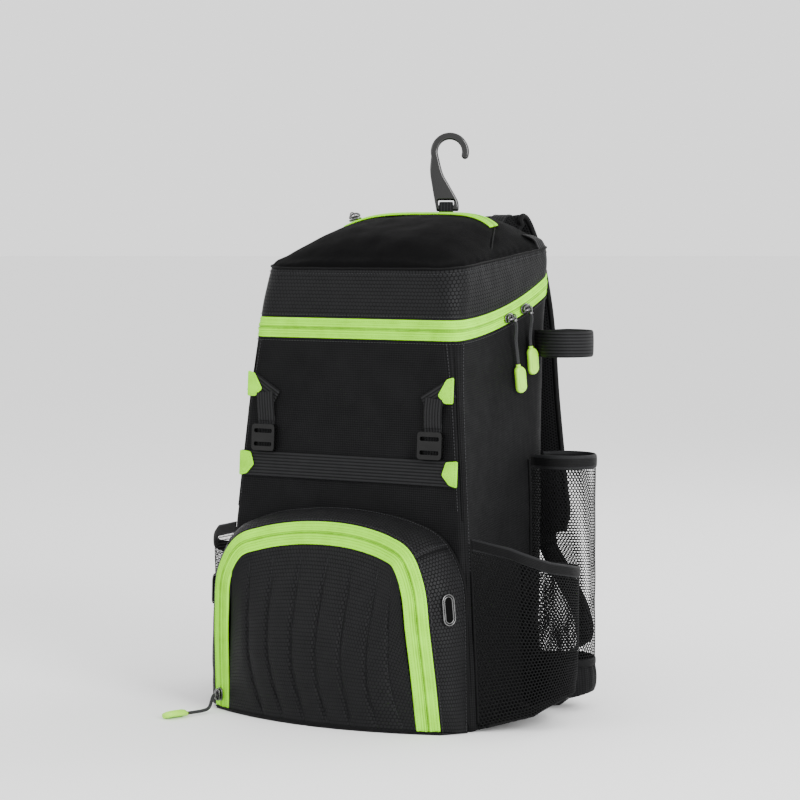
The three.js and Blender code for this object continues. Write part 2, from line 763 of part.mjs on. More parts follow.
function onPanel(name, geometry, look, x, z, out, turn = 0) {
  const mesh = add(name, geometry, look);
  mesh.position.copy(onFront(x, z, out));
  mesh.rotation.set(Math.PI / 2 - frontLean, 0, 0);
  mesh.rotateZ(turn);
  return mesh;
}

function helmetHolder() {
  const strapOut = sewnGap + webbingThickness / 2 + 0.1;
  const tabOut = strapOut + webbingThickness / 2 + sewnGap;
  const edgeAt = (z) => skinSection(z, 0).frontHalf - 3;
  const lockZ = mix(lowerTabHeight, upperTabHeight, 0.33);
  const lockX = edgeAt(lockZ) - 1.6 * tabLength;
  const crossEnd = edgeAt(lowerTabHeight) - 1;
  add("cross_strap", ribbon({
    path: [-1, 0, 1].map((share) => onFront(share * crossEnd, lowerTabHeight, strapOut)),
    face: outOfFront,
    width: webbingWidth,
    thickness: webbingThickness,
    steps: 4,
  }), webbing);
  const upperOutline = [[0, -0.5], [0, 0.5], [-0.45, 0.42], [-1, -0.2], [-0.55, -0.5]];
  const lowerOutline = [[0, -0.5], [0, 0.5], [-0.75, 0.45], [-1, -0.05], [-0.5, -0.42]];
  for (const [side, sign] of Object.entries(sides)) {
    const tab = (outline) => plate(
      outline.map(([x, y]) => new Vector2(sign * x * tabLength, y * tabHeight)),
      tabThickness,
    );
    onPanel(`tab_upper_${side}`, tab(upperOutline), bright, sign * edgeAt(upperTabHeight), upperTabHeight, tabOut);
    onPanel(`tab_lower_${side}`, tab(lowerOutline), bright, sign * edgeAt(lowerTabHeight), lowerTabHeight, tabOut);
    const top = onFront(sign * (edgeAt(upperTabHeight) - 3), upperTabHeight + 2, strapOut);
    const foldX = edgeAt(upperTabHeight) - 1.9 * tabLength;
    const foldPoint = onFront(sign * foldX, upperTabHeight - 15, strapOut);
    add(`upper_strap_${side}`, ribbon({
      path: [top, top.clone().lerp(foldPoint, 0.5), foldPoint],
      face: outOfFront,
      width: holderWebbing,
      thickness: webbingThickness,
      steps: 2,
    }), webbing);
    const slot = roundedOutline(lockWidth - 6, 4, 1, 1);
    const slots = [0.25, -0.25].map((share) => slot.map((p) => new Vector2(p.x, p.y + share * lockHeight)));
    const lock = plate(roundedOutline(lockWidth, lockHeight, 3, 2), lockThickness, slots);
    const lockOut = strapOut + webbingThickness / 2 + sewnGap;
    onPanel(`ladder_lock_${side}`, lock, plastic, sign * lockX, lockZ, lockOut);
    const dropTop = onFront(sign * lockX, upperTabHeight - 31, strapOut);
    const dropFoot = onFront(sign * lockX, lowerTabHeight + webbingWidth / 2 + 1, strapOut);
    add(`drop_strap_${side}`, ribbon({
      path: [dropTop, dropTop.clone().lerp(dropFoot, 0.5), dropFoot],
      face: outOfFront,
      width: holderWebbing,
      thickness: webbingThickness,
      steps: 2,
    }), webbing);
  }
}

function onBack({ side, back = 0, up }, sign) {
  return new Vector3(sign * side * baseWidth / 2, back * baseDepth, up * ridgeHeight);
}

function backPanel() {
  const columns = 8;
  const rows = 8;
  const point = (i, j, out) => {
    const x = mix(-padWidth / 2, padWidth / 2, i / columns);
    const z = mix(padBottom, padTop, j / rows);
    return new Vector3(x, backY(z) + out, z);
  };
  const puff = (i, j) => padThickness * Math.sqrt(Math.sin(Math.PI * (i + 0.6) / (columns + 1.2))
    * Math.sin(Math.PI * (j + 0.6) / (rows + 1.2))) * (i === columns / 2 ? 0.5 : 1);
  add("back_pad", sheet({
    columns,
    rows,
    at: (i, j) => point(i, j, sewnGap + puff(i, j)),
    behind: (i, j) => point(i, j, sewnGap),
  }), padding);
}

// The strap starts flat on the back; its webbing leaves the strap's foot and ends flat on the back
function shoulderStraps(side, sign) {
  const seat = (row, thickness) => {
    const point = onBack(row, sign);
    return point.setY(backY(point.z) + sewnGap + thickness / 2);
  };
  const top = [strapSeat, { ...strapSeat, up: strapSeat.up + 0.025 }].map((row) => seat(row, strapThickness));
  const path = [...top, ...shoulderTable.map((row) => onBack(row, sign))];
  const curve = new CatmullRomCurve3(path);
  const foot = curve.getPoint(1);
  const down = curve.getTangent(1);
  add(`shoulder_strap_${side}`, ribbon({
    path,
    across: () => new Vector3(1, 0, 0),
    width: (along) => strapWidth * Math.min(1, 0.66 + 0.85 * along),
    thickness: strapThickness,
    steps: 16,
    edge: 0.12,
  }), padding);
  const start = [0, 12].map((far) => foot.clone().addScaledVector(down, sewnGap + far));
  const end = [webbingSeat + 0.025, webbingSeat].map((up) => seat({ side: 0.77, up }, webbingThickness));
  add(`lower_webbing_${side}`, ribbon({
    path: [...start, ...lowerTable.map((row) => onBack(row, sign)), ...end],
    across: (along) => {
      const turn = Math.sin(Math.PI * along);
      return new Vector3(sign * mix(1, 0.75, turn), 0.15 * turn, 0.6 * turn).normalize();
    },
    width: lowerWebbing,
    thickness: webbingThickness,
    steps: 14,
  }), webbing);
}

// Fence hook: a flat moulding with a round bowl, a widening shank and a slot at its foot
function hookOutline() {
  const bowlX = 2.3;
  const outer = hookBowl + hookRod / 2;
  const inner = hookBowl - hookRod / 2;
  const tip = THREE.MathUtils.degToRad(-14);
  const turn = THREE.MathUtils.degToRad(192);
  const shape = [];
  const arc = (x, y, radius, from, to, steps) => {
    for (let i = 0; i <= steps; i += 1) {
      const angle = mix(from, to, i / steps);
      shape.push(new Vector2(x + radius * Math.cos(angle), y + radius * Math.sin(angle)));
    }
  };
  shape.push(new Vector2(hookFoot / 2, 0.1 * hookHeight), new Vector2(hookFoot / 2 - 1, 0.18 * hookHeight));
  shape.push(new Vector2(hookFoot * 0.1, 0.43 * hookHeight), new Vector2(-hookFoot * 0.2, 0.64 * hookHeight));
  arc(bowlX, hookHeight, inner, turn, tip, 12);
  const end = new Vector2(bowlX + hookBowl * Math.cos(tip), hookHeight + hookBowl * Math.sin(tip));
  arc(end.x, end.y, hookRod / 2, tip - 0.9 * Math.PI, tip - 0.1 * Math.PI, 4);
  arc(bowlX, hookHeight, outer, tip, turn, 14);
  shape.push(new Vector2(-hookFoot * 0.78, 0.68 * hookHeight), new Vector2(-hookFoot * 0.68, 0.4 * hookHeight));
  shape.push(new Vector2(-hookFoot / 2, 0), new Vector2(hookFoot / 2 - 1, 0));
  return shape;
}

function fenceHook() {
  const holder = new THREE.Group();
  holder.position.copy(hookBase);
  holder.rotation.z = hookTurn;
  pieces.add(holder);
  const slotMiddle = slotLift + slotHeight / 2;
  const slot = roundedOutline(slotLength, slotHeight, 1.2, 2).map((p) => new Vector2(p.x - 1.5, p.y + slotMiddle));
  const hook = add("fence_hook", plate(hookOutline(), hookThickness, [slot], 1.2), plastic, holder);
  hook.rotation.x = Math.PI / 2;
  hook.position.y = hookThickness / 2;
  const legOut = hookThickness / 2 + sewnGap + 1;
  const drop = -34;
  const path = [[-legOut, drop], [-legOut, -6], [-legOut + 0.2, slotLift - 1], [0, slotMiddle + 0.6],
    [legOut - 0.2, slotLift - 1], [legOut, -6], [legOut, drop]];
  add("hook_webbing", ribbon({
    path: path.map(([y, z]) => new Vector3(-1.5, y, z)),
    across: () => new Vector3(1, 0, 0),
    width: hookWebbing,
    thickness: webbingThickness * 0.7,
    steps: 16,
  }), webbing, holder);
}

// Sliders lie on the tape with their length along it
const sliderOutline = [[-0.5, -0.25], [-0.3, -0.5], [0.4, -0.42], [0.5, 0], [0.4, 0.42], [-0.3, 0.5], [-0.5, 0.25]];

function slider(name, middle, along, out) {
  const outline = sliderOutline.map(([x, y]) => new Vector2(x * sliderLength, y * sliderWidth));
  const mesh = add(name, plate(outline, sliderThickness, [], 0.8), plastic);
  const across = out.clone().cross(along).normalize();
  const basis = new THREE.Matrix4().makeBasis(along.clone().normalize(), across, out.clone().normalize());
  mesh.quaternion.setFromRotationMatrix(basis);
  mesh.position.copy(middle).addScaledVector(out, 2 * sewnGap + coilHeight);
}

function cordTube(name, points) {
  const curve = new CatmullRomCurve3(points);
  const section = new THREE.Shape(Array.from({ length: 8 }, (_, i) => {
    const angle = Math.PI * (i + 0.5) / 4;
    return new Vector2(cordWidth / 2 * Math.cos(angle), cordWidth / 2 * Math.sin(angle));
  }));
  const steps = Math.max(4, Math.round(curve.getLength() / (2.2 * cordWidth)));
  add(name, new THREE.ExtrudeGeometry(section, { steps, extrudePath: curve, bevelEnabled: false }), webbing);
}

// The moulded end of a cord: slightly bent like a bean, its top at the given point
function pullEnd(name, top, down, face) {
  const bend = 0.14;
  const outline = roundedOutline(endWidth, endLength, endWidth * 0.48, 3)
    .map((p) => new Vector2(p.x + bend * endWidth * Math.cos(Math.PI * p.y / endLength), p.y - endLength / 2));
  const mesh = add(name, plate(outline, endThickness, [], 1.4), pale);
  const up = down.clone().negate().normalize();
  const normal = face.clone().normalize();
  const basis = new THREE.Matrix4().makeBasis(up.clone().cross(normal), up, normal);
  mesh.quaternion.setFromRotationMatrix(basis);
  mesh.position.copy(top).addScaledVector(normal, -endThickness / 2).addScaledVector(down, sewnGap);
}

// Routes of the free cords, chosen by hand. out is from the side panel, the rest are places.
const lidPulls = {
  front: { y: 15, points: [{ y: 15, z: 383, out: 8.8 }, { y: 17, z: 375, out: 9.8 }, { y: 21, z: 360, out: 7.3 },
    { y: 24, z: 347, out: 6.4 }, { y: 25, z: 336, out: 6.2 }] },
  rear: { y: 43, points: [{ y: 43, z: 389, out: 8.8 }, { y: 44, z: 382, out: 9.8 }, { y: 46, z: 372, out: 7.6 },
    { y: 47, z: 362, out: 6.6 }, { y: 47.5, z: 353, out: 6.4 }] },
};
const pocketPullPoints = [[-121, -147, 4.6], [-122, -156, 3], [-124, -166, 3], [-127, -176, 3]];

function pulls() {
  for (const [name, pull] of Object.entries(lidPulls)) {
    const z = zipperFront + zipperRise * backShare(pull.y) ** 2.2 + zipperWidth / 2;
    const next = zipperFront + zipperRise * backShare(pull.y + 5) ** 2.2 + zipperWidth / 2;
    const middle = new Vector3(sideX(pull.y, z) + 0.5, pull.y, z);
    const along = new Vector3(sideX(pull.y + 5, next) + 0.5, pull.y + 5, next).sub(middle);
    const out = new Vector3(-along.y, along.x, 0).negate().normalize();
    slider(`lid_slider_${name}`, middle, along, out);
    const points = pull.points.map((p) => new Vector3(sideX(p.y, p.z) + p.out, p.y, p.z));
    cordTube(`lid_pull_cord_${name}`, points);
    const last = points[points.length - 1];
    const down = last.clone().sub(points[points.length - 2]).normalize();
    pullEnd(`lid_pull_end_${name}`, last, down, new Vector3(1, 0, 0).addScaledVector(down, -down.x));
  }
  const share = 1 - 0.02;
  const along = archCurve.getTangent(share).negate();
  const out = tapeNormal(share);
  slider("pocket_slider", tapePoint(share, 0), along, out);
  const face = 3 * sewnGap + coilHeight + sliderThickness;
  const leave = [0, 3].map((far) => tapePoint(share, 0).addScaledVector(out, face + far));
  const points = [...leave, ...pocketPullPoints.map((p) => new Vector3(...p))];
  cordTube("pocket_pull_cord", points);
  const last = points[points.length - 1];
  const down = last.clone().sub(points[points.length - 2]).normalize();
  pullEnd("pocket_pull_end", last, down, new Vector3(0, 0, 1));
  const topAt = (x) => {
    const y = mix(lidFront, lidBack, 0.765) - topZipperBow * (x / topZipperHalf) ** 2;
    return new Vector3(x, y, domeZ(x, y) + sewnGap + 1.5);
  };
  const end = topAt(-topZipperHalf + 0.6 * sliderLength);
  slider("top_slider", end, topAt(-topZipperHalf + 1.4 * sliderLength).sub(end), new Vector3(-0.3, 0, 1).normalize());
}

function eyelets() {
  for (const [side, sign] of Object.entries(sides)) {
    const share = 0.5 - sign * 0.328;
    const away = gussetPoint(share, 0.45, 1).sub(gussetPoint(share, 0.45, 0)).normalize();
    const up = archCurve.getTangent(share).multiplyScalar(sign).projectOnPlane(away).normalize();
    const hole = roundedOutline(7, 23, 3.4, 3);
    const mesh = add(`eyelet_${side}`, plate(roundedOutline(14, 30, 6.9, 3), 2, [hole]), ringMetal);
    const basis = new THREE.Matrix4().makeBasis(up.clone().cross(away), up, away);
    mesh.quaternion.setFromRotationMatrix(basis);
    mesh.position.copy(gussetPoint(share, 0.45)).addScaledVector(away, sewnGap + 0.3);
  }
}

add("main_body", mainBody(), cloth);
add("lid_band", lidBand(), ripstop);
add("lid_top", lidTop(), cloth);
add("lid_zipper", lidZipper(), bright);
add("top_zipper", topZipper(), bright);
add("pocket_gusset", pocketGusset(), ripstop);
add("pocket_zipper", pocketZipper(), bright);
add("pocket_door", pocketDoor(), ripstop);
add("pocket_floor", pocketFloor(), cloth);
for (const [side, sign] of Object.entries(sides)) {
  sidePockets(side, sign);
  shoulderStraps(side, sign);
}
helmetHolder();
backPanel();
fenceHook();
pulls();
eyelets();

// The origin is under the middle of the bag's box, taken without the free cords and their ends
bag.updateMatrixWorld(true);
const box = new THREE.Box3();
bag.traverse((part) => {
  if (part.isMesh && !part.name.includes("_pull_")) box.expandByObject(part);
});
const middle = box.getCenter(new Vector3());
pieces.position.set(-middle.x, -middle.y, -box.min.z);

export default bag;
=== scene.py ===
"""Looks of the baseball bat backpack: cloth, nets, zippers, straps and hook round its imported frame.

Lengths are millimetres until a mesh is made; world() turns them into metres in the row frame.
"""
import math

import bpy
import numpy as np
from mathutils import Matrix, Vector, noise
from mathutils.geometry import tessellate_polygon

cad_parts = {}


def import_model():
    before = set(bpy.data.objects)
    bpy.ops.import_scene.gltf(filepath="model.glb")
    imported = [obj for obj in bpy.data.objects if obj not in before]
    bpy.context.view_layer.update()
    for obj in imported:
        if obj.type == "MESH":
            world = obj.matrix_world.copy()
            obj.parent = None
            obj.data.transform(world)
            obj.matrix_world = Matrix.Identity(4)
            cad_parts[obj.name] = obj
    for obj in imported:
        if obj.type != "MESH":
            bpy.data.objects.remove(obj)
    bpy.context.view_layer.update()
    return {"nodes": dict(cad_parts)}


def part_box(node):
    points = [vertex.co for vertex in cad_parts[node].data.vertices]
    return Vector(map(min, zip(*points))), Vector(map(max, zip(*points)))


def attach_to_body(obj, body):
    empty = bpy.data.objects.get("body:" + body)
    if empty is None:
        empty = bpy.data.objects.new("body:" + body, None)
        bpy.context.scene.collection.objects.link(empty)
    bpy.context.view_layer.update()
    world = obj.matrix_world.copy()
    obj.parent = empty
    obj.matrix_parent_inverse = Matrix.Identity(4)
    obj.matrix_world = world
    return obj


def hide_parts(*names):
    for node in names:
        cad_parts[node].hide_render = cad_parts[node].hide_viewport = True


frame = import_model()

# Sizes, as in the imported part
BASE_WIDTH, BASE_DEPTH, SEAM_HEIGHT, SEAM_RISE, RIDGE = 300.0, 192.0, 430.0, 21.0, 483.0
ROUNDING, GAP = 6.0, 0.3
ZIP_FRONT, ZIP_RISE, ZIP_WIDTH = 363.0, 46.0, 19.0
TOP_ZIP_WIDTH, TOP_ZIP_HALF, TOP_ZIP_BOW = 14.0, 86.0, 18.0
POCKET_HALF, POCKET_DEPTH, POCKET_HEIGHT, ROOT_HEIGHT = 119.0, 39.0, 180.0, 200.0
POCKET_ZIP, POCKET_TILT, TAPE = 22.0, math.radians(22), 2.4
DOOR_CROWN, DOOR_BULGE, CHANNELS, CHANNEL_DEPTH = 20.0, 15.0, 8, 2.2
FLOOR = 2.4
BOTTLES = {"right": (47.0, 168.0, -28.0), "left": (34.0, 154.0, -36.0)}
BOTTLE_BACK, BOTTLE_RIM, BOTTLE_LIFT, CUP_BOTTOM = 28.0, 168.0, 25.0, 2.2
NET, BAND_WIDTH, BAND = 1.6, 11.0, 2.8
BAT_OUT, BAT_Y, SLEEVE_RADIUS, SLEEVE_TOP = 153.0, 70.0, 28.5, 236.0
SLEEVE_FRONT, SLEEVE_BACK, FOOT, FOOT_LIFT = 46.0, 82.0, 46.0, 15.0
LOOP_HEIGHT, LOOP_RADIUS, LOOP_FRONT, LOOP_BACK = 357.0, 25.0, 62.0, 80.0
WEBBING, HOLDER_WEBBING, WEB = 25.0, 20.0, 1.8
UPPER_TAB, LOWER_TAB, TAB_LENGTH, TAB_HEIGHT, TAB = 317.0, 239.0, 17.0, 25.0, 1.6
PAD_WIDTH, PAD_BOTTOM, PAD_TOP, PAD = 184.0, 26.0, 392.0, 9.0
STRAP_WIDTH, STRAP, LOWER_WEB = 56.0, 11.0, 20.0
HOOK_BOWL, HOOK_ROD, HOOK_HEIGHT, HOOK_FOOT, HOOK = 15.9, 7.4, 60.3, 23.0, 6.0
HOOK_TURN, HOOK_BASE = math.radians(28), (-9.0, 110.2, 486.0)
SLOT_LENGTH, SLOT_HEIGHT, SLOT_LIFT, HOOK_WEB = 16.0, 5.0, 6.0, 14.0
SLIDER_LENGTH, SLIDER_WIDTH, SLIDER = 13.0, 9.0, 4.5
CORD, END_LENGTH, END_WIDTH, END = 3.4, 26.0, 11.0, 5.5
SIDES = {"right": 1.0, "left": -1.0}

# Steps and small measures of the looks
COLUMNS, WALL_ROWS, AROUND, RIBBON_SIDES = 380, 100, 105, 32
NET_PITCH, NET_STRAND = 3.15, 1.0
PULL_RING, TOP_RING, PULL_WIRE = 2.2, 2.3, 0.6
DOOR_EDGE = -POCKET_ZIP / 2 - GAP - TAPE * math.sin(POCKET_TILT)
ARCH_TURN, CHANNEL_PITCH = 0.23, 0.235
ACROSS = np.array([1.0, 0, 0])
CAMERA_PLACE, CAMERA_AIM = (1391.4, -2142.5, 465.2), (0, 0, 300)
LID_PULLS = {
    "front": (15.0, [(15, 383, 8.8), (17, 375, 9.8), (21, 360, 7.3), (24, 347, 6.4), (25, 336, 6.2)]),
    "rear": (43.0, [(43, 389, 8.8), (44, 382, 9.8), (46, 372, 7.6), (47, 362, 6.6), (47.5, 353, 6.4)]),
}
POCKET_PULL = [(-121, -147, 4.6), (-122, -156, 3), (-124, -166, 3), (-127, -176, 3)]

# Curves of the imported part

SKIN = np.array([
    [0.00, 1.000, 0.853, 0.520, 0.480, 0.06, 0.28, 0.01],
    [0.25, 0.936, 0.853, 0.487, 0.483, 0.06, 0.28, 0.05],
    [0.50, 0.871, 0.848, 0.453, 0.488, 0.06, 0.27, 0.04],
    [0.72, 0.815, 0.825, 0.424, 0.497, 0.07, 0.22, 0.03],
    [0.84, 0.782, 0.805, 0.407, 0.511, 0.10, 0.18, 0.02],
    [0.94, 0.775, 0.800, 0.392, 0.523, 0.15, 0.13, 0.00],
    [1.00, 0.747, 0.785, 0.365, 0.530, 0.20, 0.10, 0.00],
    [1.06, 0.740, 0.780, 0.360, 0.530, 0.20, 0.10, 0.00],
])
DOME = np.array([[0, 0], [0.05, 0.2], [0.18, 0.46], [0.32, 0.61], [0.53, 0.71], [0.76, 0.7],
                 [0.91, 0.56], [1, 0]])
ARCH = np.array([
    [0.00, 1.000, 0.72, 0.02, 0.965, 0.015],
    [0.18, 0.980, 0.84, 0.27, 0.950, 0.250],
    [0.36, 0.950, 0.97, 0.54, 0.935, 0.500],
    [0.50, 0.910, 1.00, 0.76, 0.895, 0.720],
    [0.62, 0.785, 0.90, 0.905, 0.740, 0.890],
    [0.72, 0.605, 0.74, 0.953, 0.530, 0.955],
    [0.86, 0.300, 0.60, 0.990, 0.250, 0.990],
    [1.00, 0.000, 0.55, 1.000, 0.000, 1.000],
])
RIM = np.array([[0, 1], [0.15, 0.96], [0.35, 0.88], [0.55, 0.84], [0.8, 0.82], [1, 0.82]])
CUP = np.array([[1, 1, 0], [0.55, 1, 0], [0.2, 0.98, 0], [0.05, 0.93, 0], [0, 0.82, 0],
                [0, 0.6, 0.6], [0, 0.6, 1]])
STRAP_SEAT, WEB_SEAT = (0.31, 0.85), 0.055
SHOULDER = [(0.3, 0.58, 0.92), (0.3, 0.62, 0.972), (0.31, 0.66, 0.985), (0.36, 0.715, 0.93),
            (0.44, 0.74, 0.8), (0.5, 0.74, 0.6), (0.57, 0.735, 0.42), (0.62, 0.72, 0.33)]
LOWER = [(0.72, 0.745, 0.25), (0.85, 0.775, 0.165), (0.89, 0.74, 0.11), (0.84, 0.6, 0.09)]

PULL_TURN = -0.32
TURN = 38.0  # steps once round the bag: front 4, corner 3, side 6, back corner 4, back 2, and back


def smooth(values, width):
    """A run of values, rounded off, with its two ends kept."""
    grid = np.arange(-3 * width, 3 * width + 1)
    kernel = np.exp(-0.5 * (grid / width) ** 2)
    kernel /= kernel.sum()
    n = 3 * width
    before, after = 2 * values[0] - values[n:0:-1], 2 * values[-1] - values[-2:-n - 2:-1]
    return np.convolve(np.concatenate([before, values, after]), kernel, mode="valid")


dense = np.linspace(0, 1, 401)
dome_rise = smooth(np.interp(dense, DOME[:, 0], DOME[:, 1]), 14)
skin_dense = np.linspace(0, 1.06, 425)
skin_smooth = [smooth(np.interp(skin_dense, SKIN[:, 0], SKIN[:, c]), 16) for c in range(1, 8)]


def skin_section(z, out):
    fh, bh, front, back, fr, br, dent = [np.interp(z / SEAM_HEIGHT, skin_dense, c) for c in skin_smooth]
    half = BASE_WIDTH / 2
    return (fh * half + out, bh * half + out, -front * BASE_DEPTH - out, back * BASE_DEPTH + out,
            np.maximum(fr * half + out, 1), np.maximum(br * half + out, 1), dent * half)


def skin_xy(t, z, out=0.0):
    """Place on the plan outline at turn t and height z, out of the panel by out."""
    t, z = np.broadcast_arrays(np.asarray(t, float), np.asarray(z, float))
    turn = np.mod(t, TURN)
    f = np.minimum(turn, TURN - turn)
    fh, bh, front, back, fr, br, dent = skin_section(z, out)
    corner = -math.pi / 2 + math.pi / 2 * (f - 4) / 3
    share = (f - 7) / 6
    rear = math.pi / 2 * (f - 13) / 4
    x = np.select([f <= 4, f <= 7, f <= 13, f <= 17],
                  [(fh - fr) * f / 4, fh - fr + fr * np.cos(corner),
                   fh + (bh - fh) * share - dent * np.sin(math.pi * np.clip(share, 0, 1)),
                   bh - br + br * np.cos(rear)], (bh - br) * (19 - f) / 2)
    y = np.select([f <= 4, f <= 7, f <= 13, f <= 17],
                  [front + 0 * f, front + fr + fr * np.sin(corner),
                   front + fr + (back - br - front - fr) * share,
                   back - br + br * np.sin(rear)], back + 0 * f)
    return np.where(turn > TURN / 2, -x, x), y


def skin(t, z, out=0.0):
    x, y = skin_xy(t, z, out)
    return np.stack(np.broadcast_arrays(x, y, np.asarray(z, float)), -1)


LID_FRONT, LID_BACK = (float(y) for y in skin_section(SEAM_HEIGHT, 0)[2:4])
LID_MIDDLE = np.array([0, LID_FRONT + 0.6 * (LID_BACK - LID_FRONT)])
seam_t = np.linspace(0, 19, 1500)
seam_x, seam_y = skin_xy(seam_t, np.full_like(seam_t, SEAM_HEIGHT))
on_side = (seam_t > 4) & (seam_t < 17)


def toward_middle(seam, share):
    """Plan places on the way from the lid's seam to its middle."""
    return [seam[..., c] + (LID_MIDDLE[c] - seam[..., c]) * share for c in (0, 1)]


def back_share(y):
    return np.clip((y - LID_FRONT) / (LID_BACK - LID_FRONT), 0, 1)


def share_at(t):
    return back_share(skin_xy(t, SEAM_HEIGHT + 0 * np.asarray(t, float))[1])


def zip_low_at(share):
    return ZIP_FRONT + ZIP_RISE * share ** 2.2


def zip_low(t):
    return zip_low_at(share_at(t))


def zip_high(t):
    return zip_low(t) + ZIP_WIDTH


def seam_at(t):
    return SEAM_HEIGHT + SEAM_RISE * share_at(t)


def dome_z(x, y):
    share = back_share(y)
    rise = np.interp(share, dense, dome_rise) * (RIDGE - SEAM_HEIGHT)
    half = np.interp(y, seam_y[on_side], seam_x[on_side])
    edge = np.minimum(np.abs(x) / half, 1)
    return SEAM_HEIGHT + SEAM_RISE * share + rise * (1 - edge ** 4)


body_low = np.array(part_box("main_body")[0]) * 1000
body_high = np.array(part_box("main_body")[1]) * 1000
first_ring = np.interp(0.012, SKIN[:, 0], SKIN[:, 3]) * BASE_DEPTH
SHIFT = np.array([(body_low[0] + body_high[0]) / 2, body_low[1] + first_ring, 0.0])


def world(points):
    return (np.asarray(points, float) + SHIFT) / 1000


def unit(v):
    v = np.asarray(v, float)
    return v / np.maximum(np.linalg.norm(v, axis=-1, keepdims=True), 1e-12)


class Spline:
    """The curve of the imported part's routes: centripetal, through its points."""

    def __init__(self, points):
        self.p = np.asarray(points, float)

    def at(self, share):
        p = self.p
        last = len(p) - 1
        pos = np.clip(np.asarray(share, float), 0, 1) * last
        i = np.minimum(pos.astype(int), last - 1)
        w = (pos - i)[..., None]
        p1, p2 = p[i], p[i + 1]
        p0 = np.where((i > 0)[..., None], p[np.maximum(i - 1, 0)], 2 * p[0] - p[1])
        p3 = np.where((i + 2 <= last)[..., None], p[np.minimum(i + 2, last)], 2 * p[last] - p[last - 1])
        pairs = ((p0, p1), (p1, p2), (p2, p3))
        d0, d1, d2 = (np.sqrt(np.linalg.norm(b - a, axis=-1, keepdims=True)) for a, b in pairs)
        d1 = np.where(d1 < 1e-4, 1, d1)
        d0 = np.where(d0 < 1e-4, d1, d0)
        d2 = np.where(d2 < 1e-4, d1, d2)
        m1 = ((p1 - p0) / d0 - (p2 - p0) / (d0 + d1) + (p2 - p1) / d1) * d1
        m2 = ((p2 - p1) / d1 - (p3 - p1) / (d1 + d2) + (p3 - p2) / d2) * d1
        return p1 + m1 * w + (-3 * p1 + 3 * p2 - 2 * m1 - m2) * w ** 2 + (2 * p1 - 2 * p2 + m1 + m2) * w ** 3

    def along(self, share):
        share = np.asarray(share, float)
        return unit(self.at(np.clip(share + 1e-4, 0, 1)) - self.at(np.clip(share - 1e-4, 0, 1)))


# Meshes

def finish_mesh(name, verts, faces, look, uv=None, flat=False, covers=()):
    """A mesh object from points in millimetres and faces, with a place on each face's corners."""
    mesh = bpy.data.meshes.new(name)
    mesh.from_pydata(world(verts).tolist(), [], [list(map(int, f)) for f in faces])
    if uv is not None:
        layer = mesh.uv_layers.new(name="UVMap")
        loops = np.empty(len(mesh.loops), dtype=np.int64)
        mesh.loops.foreach_get("vertex_index", loops)
        layer.data.foreach_set("uv", (np.asarray(uv, float)[loops] / 1000).astype(np.float32).ravel())
    mesh.polygons.foreach_set("use_smooth", np.full(len(mesh.polygons), not flat))
    mesh.update()
    obj = bpy.data.objects.new(name, mesh)
    bpy.context.scene.collection.objects.link(obj)
    mesh.materials.append(LOOKS[look])
    if covers:
        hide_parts(*covers)
    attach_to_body(obj, "root")
    return obj


def grid_faces(rows, cols, wrap=False, start=0, turned=False):
    j, i = np.meshgrid(np.arange(rows - 1), np.arange(cols if wrap else cols - 1), indexing="ij")
    a = start + j * cols + i
    b = start + j * cols + (i + 1) % cols
    faces = np.stack([a, b, b + cols, a + cols], -1).reshape(-1, 4)
    return faces[:, ::-1] if turned else faces


def tube_faces(rings, count, closed=False):
    """Faces round a run of rings, joined end to end or with a cap at each end."""
    faces = grid_faces(rings, count, True).tolist()
    last = (rings - 1) * count
    if closed:
        return faces + [(last + s, last + (s + 1) % count, (s + 1) % count, s) for s in range(count)]
    return faces + [tuple(range(count - 1, -1, -1)), tuple(range(last, last + count))]


def lengths(points, axis):
    """Distance walked along an axis of a grid of points, averaged over the other axis."""
    steps = np.linalg.norm(np.diff(points, axis=axis), axis=-1)
    return np.concatenate([[0], np.cumsum(steps.mean(axis=1 - axis))])


def walk(points):
    """Distance walked along a run of points."""
    return np.concatenate([[0], np.cumsum(np.linalg.norm(np.diff(points, axis=0), axis=1))])


def even(points, step):
    """Points spread evenly along a run of points."""
    points = np.asarray(points, float)
    walked = walk(points)
    want = np.linspace(0, walked[-1], max(2, int(round(walked[-1] / step)) + 1))
    return np.stack([np.interp(want, walked, points[:, c]) for c in range(points.shape[1])], -1)


def grid_normals(points, wrap=False):
    du = np.gradient(points, axis=1)
    if wrap:
        du = (np.roll(points, -1, axis=1) - np.roll(points, 1, axis=1)) / 2
    return unit(np.cross(du, np.gradient(points, axis=0)))


